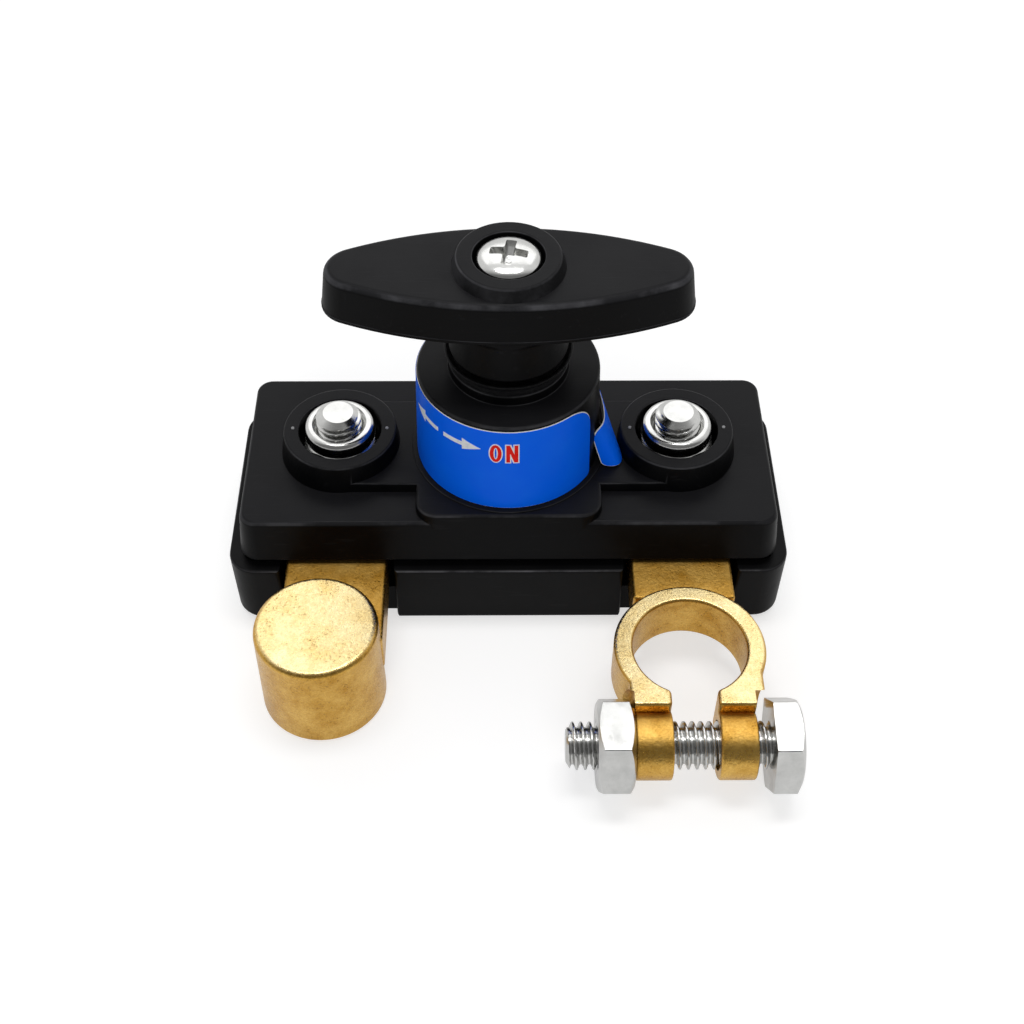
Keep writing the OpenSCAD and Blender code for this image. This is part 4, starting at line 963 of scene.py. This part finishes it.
def makePost(s):
    low, top = (s["width"] + s["flare"]) / 2, s["width"] / 2
    post = lathe("postTerminal", softenCorners([(0, s["low"], 0), (low, s["low"], 0.45), (top, s["top"], s["edge"]),
                 (0, s["top"], 0)], 8), (-layout["postX"], -layout["postY"]), 128)
    combine(post, terminalBar(-1, layout["postY"], s), "UNION")
    boreTerminal(post, -1, s)
    return finishPiece(post, "housing", terminalBrass, ["post_terminal"])


makePost(postSizes)

# ---- clamp terminal: a split ring on a bar, with two ears for the cross bolt

clampSizes = {"ring": 25.6, "bore": 19.2, "height": 9.2, "step": 0.7, "gap": 7.6, "ear": 6.1, "eye": 11.4,
              "front": 11.8, "nutShoulder": 0.7, "headShoulder": 1.7, "spot": 9.2, "boltBore": 8.34, "edge": 0.6,
              "boreEdge": 1.0, "cornerRound": 0.8}


def clampOutline(s):
    # seen from above, about the ring's axis, going round anticlockwise
    inner, outer = s["gap"] / 2, s["gap"] / 2 + s["ear"]
    right, left = outer + s["headShoulder"], outer + s["nutShoulder"]
    ring, bore = s["ring"] / 2, s["bore"] / 2
    corners = [(inner, -s["front"], s["cornerRound"]), (right, -s["front"], s["cornerRound"]),
               (right, -math.sqrt(ring ** 2 - right ** 2), 0.8)]
    start = math.degrees(math.asin(-math.sqrt(ring ** 2 - right ** 2) / ring))
    end = 180 - math.degrees(math.asin(-math.sqrt(ring ** 2 - left ** 2) / ring))
    corners += [(ring * math.cos(math.radians(start + (end - start) * k / 72)),
                 ring * math.sin(math.radians(start + (end - start) * k / 72)), 0) for k in range(2, 71)]
    corners += [(-left, -math.sqrt(ring ** 2 - left ** 2), 0.8), (-left, -s["front"], s["cornerRound"]),
                (-inner, -s["front"], s["cornerRound"]), (-inner, -math.sqrt(bore ** 2 - inner ** 2), s["boreEdge"])]
    turn = math.degrees(math.acos(inner / bore))
    start, end = 180 + turn, -turn
    corners += [(bore * math.cos(math.radians(start + (end - start) * k / 72)),
                 bore * math.sin(math.radians(start + (end - start) * k / 72)), 0) for k in range(2, 71)]
    corners += [(inner, -math.sqrt(bore ** 2 - inner ** 2), s["boreEdge"])]
    first = (inner, -s["front"] + 1.5, 0)
    return softenCorners([first] + corners + [(inner, -s["front"] + 1.52, 0)], 6)


def makeClamp(s):
    at = (layout["barX"], -layout["ringY"])
    top = layout["barTop"] + s["step"]
    low = top - s["height"]
    outline = clampOutline(s)
    rings = []
    for inset, z in edgeArcs(low, top, s["edge"], s["edge"], 7):
        rings.append([(at[0] + x, at[1] + y, z) for x, y in insetOutline(outline, inset)])
    clamp = skinRings("clampTerminal", rings)
    bar = terminalBar(1, layout["ringY"] - s["bore"] / 2 - 1, postSizes)
    combine(clamp, bar, "UNION")
    inner, outer = s["gap"] / 2, s["gap"] / 2 + s["ear"]
    for side in (-1, 1):
        eye = lathe("eye", softenCorners([(0, 0, 0), (s["eye"] / 2, 0, 0.4), (s["eye"] / 2, s["ear"], 0.3), (0, s["ear"], 0)], 5),
                    sides=72)
        x = layout["barX"] + (inner if side > 0 else -outer)
        combine(clamp, placeShape(eye, alongX(x, -layout["boltY"], layout["boltZ"])), "UNION")
    for side in (-1, 1):
        # the round face cut beside each ear, for the nut or the bolt's head
        face = lathe("face", [(0, 0), (s["spot"], 0), (s["spot"], s["ear"]), (0, s["ear"])], sides=96)
        x = layout["barX"] + (outer if side > 0 else -outer - s["ear"])
        combine(clamp, placeShape(face, alongX(x, -layout["boltY"], layout["boltZ"])), "DIFFERENCE")
    bore = lathe("bore", [(0, 0), (s["boltBore"] / 2, 0), (s["boltBore"] / 2, 30), (0, 30)], sides=64)
    combine(clamp, placeShape(bore, alongX(layout["barX"] - 15, -layout["boltY"], layout["boltZ"])), "DIFFERENCE")
    boreTerminal(clamp, 1, postSizes)
    return finishPiece(clamp, "housing", terminalBrass, ["clamp_terminal"])


makeClamp(clampSizes)

# ---- threads, hexagons, studs and the clamp's bolt and nut

threadSizes = {"diameter": 7.94, "pitch": 1.411, "depth": 0.92, "chamfer": 1.32, "chamferSlope": 1.6}


def threadTree():
    # a rod up Z from the origin, its skin a sheet of rows and columns drawn in along a right-hand helix
    tree = bpy.data.node_groups.new("threadedRod", "GeometryNodeTree")
    for socketName, kind in (("Diameter", "NodeSocketFloat"), ("Pitch", "NodeSocketFloat"), ("Depth", "NodeSocketFloat"),
                             ("Length", "NodeSocketFloat"), ("Chamfer", "NodeSocketFloat"),
                             ("Chamfer Slope", "NodeSocketFloat"), ("Rows per Turn", "NodeSocketFloat"),
                             ("Finish", "NodeSocketMaterial")):
        tree.interface.new_socket(socketName, in_out="INPUT", socket_type=kind)
    tree.interface.new_socket("Geometry", in_out="OUTPUT", socket_type="NodeSocketGeometry")
    given = addNode(tree, "NodeGroupInput", {}, {}).outputs
    turns = addNode(tree, "ShaderNodeMath", {"operation": "DIVIDE"}, {0: given["Length"], 1: given["Pitch"]})
    body = addNode(tree, "ShaderNodeMath", {"operation": "MULTIPLY"}, {0: turns, 1: given["Rows per Turn"]})
    whole = addNode(tree, "ShaderNodeMath", {"operation": "CEIL"}, {0: body})
    rows = addNode(tree, "ShaderNodeMath", {"operation": "ADD"}, {0: whole, 1: 3.0})
    sheet = addNode(tree, "GeometryNodeMeshGrid", {}, {"Size X": 1.0, "Size Y": 1.0, "Vertices X": 57, "Vertices Y": rows})
    spot = addNode(tree, "GeometryNodeInputPosition", {}, {})
    parts = addNode(tree, "ShaderNodeSeparateXYZ", {}, {0: spot}).outputs
    turn = addNode(tree, "ShaderNodeMath", {"operation": "ADD"}, {0: parts["X"], 1: 0.5})
    share = addNode(tree, "ShaderNodeMath", {"operation": "ADD"}, {0: parts["Y"], 1: 0.5})
    lastRow = addNode(tree, "ShaderNodeMath", {"operation": "SUBTRACT"}, {0: rows, 1: 1.0})
    row = addNode(tree, "ShaderNodeMath", {"operation": "MULTIPLY"}, {0: share, 1: lastRow})
    shifted = addNode(tree, "ShaderNodeMath", {"operation": "SUBTRACT"}, {0: row, 1: 1.0})
    span = addNode(tree, "ShaderNodeMath", {"operation": "SUBTRACT"}, {0: rows, 1: 3.0})
    rise = addNode(tree, "ShaderNodeMath", {"operation": "DIVIDE", "use_clamp": True}, {0: shifted, 1: span})
    height = addNode(tree, "ShaderNodeMath", {"operation": "MULTIPLY"}, {0: rise, 1: given["Length"]})
    wound = addNode(tree, "ShaderNodeMath", {"operation": "DIVIDE"}, {0: height, 1: given["Pitch"]})
    lag = addNode(tree, "ShaderNodeMath", {"operation": "SUBTRACT"}, {0: wound, 1: turn})
    phase = addNode(tree, "ShaderNodeMath", {"operation": "FRACT"}, {0: lag})
    middle = addNode(tree, "ShaderNodeMath", {"operation": "SUBTRACT"}, {0: phase, 1: 0.5})
    slope = addNode(tree, "ShaderNodeMath", {"operation": "ABSOLUTE"}, {0: middle})
    # root below 0.1 of the half pitch, crest above 0.42, the flank between
    flank = addNode(tree, "ShaderNodeMapRange", {"interpolation_type": "SMOOTHSTEP"},
                    {0: slope, 1: 0.08, 2: 0.43, 3: 1.0, 4: 0.0})
    sunk = addNode(tree, "ShaderNodeMath", {"operation": "MULTIPLY"}, {0: flank, 1: given["Depth"]})
    full = addNode(tree, "ShaderNodeMath", {"operation": "MULTIPLY"}, {0: given["Diameter"], 1: 0.5})
    skin = addNode(tree, "ShaderNodeMath", {"operation": "SUBTRACT"}, {0: full, 1: sunk})
    left = addNode(tree, "ShaderNodeMath", {"operation": "SUBTRACT"}, {0: given["Length"], 1: height})
    narrow = addNode(tree, "ShaderNodeMath", {"operation": "SUBTRACT"}, {0: full, 1: given["Chamfer"]})
    cone = addNode(tree, "ShaderNodeMath", {"operation": "MULTIPLY_ADD"}, {0: left, 1: given["Chamfer Slope"], 2: narrow})
    capped = addNode(tree, "ShaderNodeMath", {"operation": "MINIMUM"}, {0: skin, 1: cone})
    started = addNode(tree, "ShaderNodeMath", {"operation": "GREATER_THAN"}, {0: row, 1: 0.5})
    beforeEnd = addNode(tree, "ShaderNodeMath", {"operation": "SUBTRACT"}, {0: lastRow, 1: 0.5})
    unended = addNode(tree, "ShaderNodeMath", {"operation": "LESS_THAN"}, {0: row, 1: beforeEnd})
    within = addNode(tree, "ShaderNodeMath", {"operation": "MULTIPLY"}, {0: started, 1: unended})
    radius = addNode(tree, "ShaderNodeMath", {"operation": "MULTIPLY"}, {0: capped, 1: within})
    angle = addNode(tree, "ShaderNodeMath", {"operation": "MULTIPLY"}, {0: turn, 1: math.tau})
    cosine = addNode(tree, "ShaderNodeMath", {"operation": "COSINE"}, {0: angle})
    sine = addNode(tree, "ShaderNodeMath", {"operation": "SINE"}, {0: angle})
    x = addNode(tree, "ShaderNodeMath", {"operation": "MULTIPLY"}, {0: cosine, 1: radius})
    y = addNode(tree, "ShaderNodeMath", {"operation": "MULTIPLY"}, {0: sine, 1: radius})
    place = addNode(tree, "ShaderNodeCombineXYZ", {}, {0: x, 1: y, 2: height})
    wrapped = addNode(tree, "GeometryNodeSetPosition", {}, {"Geometry": sheet, "Position": place})
    closed = addNode(tree, "GeometryNodeMergeByDistance", {}, {"Geometry": wrapped, "Distance": 1e-6})
    real = addNode(tree, "GeometryNodeRealizeInstances", {}, {"Geometry": closed})
    coated = addNode(tree, "GeometryNodeSetMaterial", {}, {"Geometry": real, "Material": given["Finish"]})
    addNode(tree, "NodeGroupOutput", {}, {"Geometry": coated})
    return tree


rodTree = threadTree()


def threadedRod(name, length):
    s = threadSizes
    return runTree(name, rodTree, {"Diameter": s["diameter"] * mm, "Pitch": s["pitch"] * mm, "Depth": s["depth"] * mm,
                   "Length": length * mm, "Chamfer": s["chamfer"] * mm, "Chamfer Slope": s["chamferSlope"],
                   "Rows per Turn": 16.0, "Finish": platedSteel})


def hexagon(name, flats, height, chamferLow, chamferHigh, faceShare=0.93, cornerWidth=None, bore=0.0, sink=0.0):
    # a hexagonal prism whose corners are turned off by a cone, as on a made nut
    across = flats / 2
    corner = across / math.cos(math.pi / 6)
    outline = []
    easing = 0.25
    middle = corner - easing / math.cos(math.pi / 6)
    for k in range(6):
        # a small round on each upright edge
        for step in range(5):
            a = math.radians(60 * k + 15 * (step - 2))
            outline.append((middle * math.cos(math.radians(60 * k)) + easing * math.cos(a),
                            middle * math.sin(math.radians(60 * k)) + easing * math.sin(a)))
    prism = skinRings(name, [[(x, y, z) for x, y in outline] for z in (-1, height + 1)])
    face = across * faceShare
    outside = min(corner, (cornerWidth or 4 * corner) / 2)
    drop = (corner - face) * math.tan(math.radians(30))
    profile = [(0, 0)]
    profile += [(face, 0), (corner + 0.01, drop)] if chamferLow else [(corner + 0.01, 0)]
    profile += [(corner + 0.01, height - drop), (face, height)] if chamferHigh else [(corner + 0.01, height)]
    profile += [(0, height)]
    turned = lathe("turned", softenCorners([(r, z, 0.18 if 0 < k < len(profile) - 1 else 0) for k, (r, z) in enumerate(profile)], 3), sides=120)
    combine(prism, turned, "INTERSECT")
    if cornerWidth:
        ring = lathe("ring", [(0, -2), (outside, -2), (outside, height + 2), (0, height + 2)], sides=120)
        combine(prism, ring, "INTERSECT")
    if bore:
        cut = lathe("cut", [(0, -2), (bore + sink, -2), (bore + sink, 0), (bore, sink), (bore, height - sink),
                            (bore + sink, height), (bore + sink, height + 2), (0, height + 2)], sides=72)
        combine(prism, cut, "DIFFERENCE")
    return prism


studSizes = {"low": 3.5, "headWidth": 13.4, "headHeight": 3.2, "top": 33.6, "washer": 14.0, "washerHeight": 1.6,
             "washerBore": 8.4, "nutFlats": 12.3, "nutHeight": 6.8, "nutCorner": 13.5, "nutBore": 4.03, "nutSink": 0.75,
             "ringWidth": 12.2, "ringRise": 2.7, "ringEdge": 0.95, "threadTurn": 298.0}


def makeStud(side, s):
    at = Matrix.Translation((side * layout["studX"] * mm, 0, 0))
    name = "Left" if side < 0 else "Right"
    node = "left" if side < 0 else "right"
    rod = placeShape(threadedRod("stud" + name, s["top"] - s["low"]),
                     Matrix.Translation((0, 0, s["low"] * mm)) @ Matrix.Rotation(math.radians(s["threadTurn"]), 4, "Z"))
    head = lathe("head", softenCorners([(0, s["low"] - 0.001, 0), (s["headWidth"] / 2, s["low"] - 0.001, 0.2),
                 (s["headWidth"] / 2, s["low"] + s["headHeight"], 0.2), (0, s["low"] + s["headHeight"], 0)], 3), sides=48)
    combine(rod, head, "UNION")
    finishPiece(placeShape(rod, at), "housing", platedSteel, ["stud_" + node], 27)
    floor = layout["recessFloor"]
    washer = lathe("washer" + name, softenCorners([(s["washerBore"] / 2, floor, 0), (s["washer"] / 2, floor, 0.15),
                   (s["washer"] / 2, floor + s["washerHeight"], 0.35), (s["washerBore"] / 2, floor + s["washerHeight"], 0)], 4),
                   sides=96, joined=True)
    finishPiece(placeShape(washer, at), "housing", platedSteel, ["stud_washer_" + node])
    # a corner of the nut points to the front, and its top is a round-edged ring
    nut = hexagon("nut" + name, s["nutFlats"], s["nutHeight"] - s["ringRise"], False, True, 0.97, s["nutCorner"])
    placeShape(nut, Matrix.Rotation(math.pi / 6, 4, "Z"))
    ring = lathe("ring", softenCorners([(0, 1, 0), (s["ringWidth"] / 2, 1, 0), (s["ringWidth"] / 2, s["nutHeight"], s["ringEdge"]),
                 (0, s["nutHeight"], 0)], 7), sides=96)
    combine(nut, ring, "UNION")
    sink = s["nutSink"]
    bore = lathe("bore", [(0, -1), (s["nutBore"], -1), (s["nutBore"], s["nutHeight"] - sink),
                          (s["nutBore"] + sink, s["nutHeight"]), (s["nutBore"] + sink, 20), (0, 20)], sides=72)
    combine(nut, bore, "DIFFERENCE")
    placeShape(nut, at @ Matrix.Translation((0, 0, (floor + s["washerHeight"]) * mm)))
    finishPiece(nut, "housing", platedSteel, ["stud_nut_" + node], 25)


for side in (-1, 1):
    makeStud(side, studSizes)

boltSizes = {"flats": 14.8, "headX": 42.6, "headHeight": 4.8, "length": 33.8, "headTurn": 69.0,
             "nutX": 14.15, "nutHeight": 6.1, "nutTurn": 67.0, "nutBore": 4.03, "nutSink": 0.5}


def makeBolt(s):
    rod = threadedRod("clampBolt", s["length"])
    # the rod runs from the head towards -X
    placeShape(rod, Matrix.Translation(Vector((s["headX"] + 0.3, -layout["boltY"], layout["boltZ"])) * mm)
               @ Matrix.Rotation(-math.pi / 2, 4, "Y"))
    head = placeShape(hexagon("head", s["flats"], s["headHeight"], False, True),
                      alongX(s["headX"], -layout["boltY"], layout["boltZ"], s["headTurn"]) @ Matrix.Rotation(math.pi / 6, 4, "Z"))
    combine(rod, head, "UNION")
    return finishPiece(rod, "clamp_bolt", platedSteel, ["clamp_bolt"], 40)


def makeNut(s):
    nut = hexagon("clampNut", s["flats"], s["nutHeight"], True, True, 0.93, None, s["nutBore"], s["nutSink"])
    placeShape(nut, alongX(s["nutX"], -layout["boltY"], layout["boltZ"], s["nutTurn"]) @ Matrix.Rotation(math.pi / 6, 4, "Z"))
    return finishPiece(nut, "clamp_nut", platedSteel, ["clamp_nut"], 25)


makeBolt(boltSizes)
makeNut(boltSizes)

# ---- the parts inside, which keep their own shape

for nodeName, finish in (("spindle", spindlePlastic), ("contact_bridge", bridgeBrass), ("contact_spring", springSteel),
                         ("contact_tip_left", contactSilver), ("contact_tip_right", contactSilver)):
    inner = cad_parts[nodeName]
    inner.data.materials.clear()
    inner.data.materials.append(finish)
print("inner parts finished")

# ---- studio: pale floor, soft lamps and the camera

floorValues = {"size": 3.0, "tone": "#c4c4c4", "ownLight": 0.60, "mirrored": 0.40}


def makeFloor(s):
    half = s["size"] * 500
    floor = shapeFromFaces("studioFloor", [(-half, -half, 0), (half, -half, 0), (half, half, 0), (-half, half, 0)], [(0, 1, 2, 3)])
    paper, tree, shader, place = newFinish("matt white paper", {"Roughness": 0.9, "Specular IOR Level": 0.1,
                                           "Base Color": linearColour(s["tone"])})
    # the camera and mirror-like surfaces see a white floor, and the shadow stays
    ray = addNode(tree, "ShaderNodeLightPath", {}, {}).outputs
    glance = addNode(tree, "ShaderNodeMath", {"operation": "MAXIMUM"}, {0: ray["Is Glossy Ray"], 1: ray["Is Transmission Ray"]})
    mirrored = addNode(tree, "ShaderNodeMath", {"operation": "MULTIPLY"}, {0: glance, 1: s["mirrored"]})
    direct = addNode(tree, "ShaderNodeMath", {"operation": "MULTIPLY"}, {0: ray["Is Camera Ray"], 1: s["ownLight"]})
    strength = addNode(tree, "ShaderNodeMath", {"operation": "MAXIMUM"}, {0: direct, 1: mirrored})
    shader.inputs["Emission Color"].default_value = (1, 1, 1, 1)
    tree.links.new(strength.outputs[0], shader.inputs["Emission Strength"])
    floor.data.materials.append(paper)
    return floor


makeFloor(floorValues)

lampValues = {
    "overhead": {"place": (0.0, 0.05, 0.80), "aim": (0.0, 0.0, 0.02), "size": (0.50, 0.16), "power": 2.0, "mirrored": True},
    "backPanel": {"place": (0.0, 0.95, 0.95), "aim": (0.0, 0.0, 0.02), "size": (1.60, 0.90), "power": 3.8, "mirrored": True},
    "frontFill": {"place": (0.0, -0.90, 0.60), "aim": (0.0, 0.0, 0.02), "size": (0.60, 0.40), "power": 3.1, "mirrored": False},
}


def makeLamp(name, s):
    lamp = bpy.data.lights.new(name, "AREA")
    lamp.shape = "RECTANGLE"
    lamp.size, lamp.size_y = s["size"]
    lamp.energy = s["power"]
    holder = bpy.data.objects.new(name, lamp)
    bpy.context.scene.collection.objects.link(holder)
    holder.visible_glossy = s["mirrored"]
    holder.location = s["place"]
    holder.rotation_euler = (Vector(s["aim"]) - Vector(s["place"])).to_track_quat("-Z", "Y").to_euler()
    return holder


for lampName, s in lampValues.items():
    makeLamp(lampName, s)

worldLight = {"tone": "#ffffff", "strength": 0.30, "seen": 1.0, "mirroredFront": 0.20, "mirroredBack": 0.90}
room = bpy.data.worlds.new("studio room")
room.use_nodes = True
room.node_tree.nodes.clear()
ray = addNode(room.node_tree, "ShaderNodeLightPath", {}, {}).outputs
direct = addNode(room.node_tree, "ShaderNodeMath", {"operation": "MAXIMUM"}, {0: ray["Is Camera Ray"], 1: ray["Is Transmission Ray"]})
# polished metal mirrors a white room behind the switch and a dark one in front of it
way = addNode(room.node_tree, "ShaderNodeTexCoord", {}, {}).outputs["Generated"]
depth = addNode(room.node_tree, "ShaderNodeSeparateXYZ", {}, {0: way}).outputs["Y"]
mirror = addNode(room.node_tree, "ShaderNodeMapRange", {}, {0: depth, 1: -0.35, 2: 0.15,
                 3: worldLight["mirroredFront"], 4: worldLight["mirroredBack"]})
indirect = addNode(room.node_tree, "ShaderNodeMix", {"data_type": "FLOAT"}, {0: ray["Is Glossy Ray"],
                   2: worldLight["strength"], 3: mirror})
level = addNode(room.node_tree, "ShaderNodeMapRange", {}, {0: direct, 3: indirect, 4: worldLight["seen"]})
air = addNode(room.node_tree, "ShaderNodeBackground", {}, {"Color": linearColour(worldLight["tone"]), "Strength": level})
addNode(room.node_tree, "ShaderNodeOutputWorld", {}, {"Surface": air})
bpy.context.scene.world = room
bpy.context.scene.view_settings.view_transform = "Standard"

# the camera's place and angles, found from the photograph's own lines
cameraValues = {"place": (-1.342, -184.545, 219.418), "pitch": 49.03, "yaw": 0.64, "roll": 0.31, "lens": 52.60}


def makeCamera(s):
    pitch, yaw, roll = (math.radians(s[key]) for key in ("pitch", "yaw", "roll"))
    ahead = Vector((math.sin(yaw) * math.cos(pitch), math.cos(yaw) * math.cos(pitch), -math.sin(pitch)))
    right = Vector((math.cos(yaw), -math.sin(yaw), 0))
    up = right.cross(ahead)
    tiltRight = right * math.cos(roll) + up * math.sin(roll)
    tiltUp = up * math.cos(roll) - right * math.sin(roll)
    data = bpy.data.cameras.new("studioCamera")
    data.lens, data.sensor_width, data.clip_start = s["lens"], 36.0, 0.01
    camera = bpy.data.objects.new("studioCamera", data)
    bpy.context.scene.collection.objects.link(camera)
    turn = Matrix((tiltRight, tiltUp, -ahead)).transposed().to_4x4()
    camera.matrix_world = Matrix.Translation(Vector(s["place"]) * mm) @ turn
    bpy.context.scene.camera = camera
    return camera


makeCamera(cameraValues)
print("studio ready")
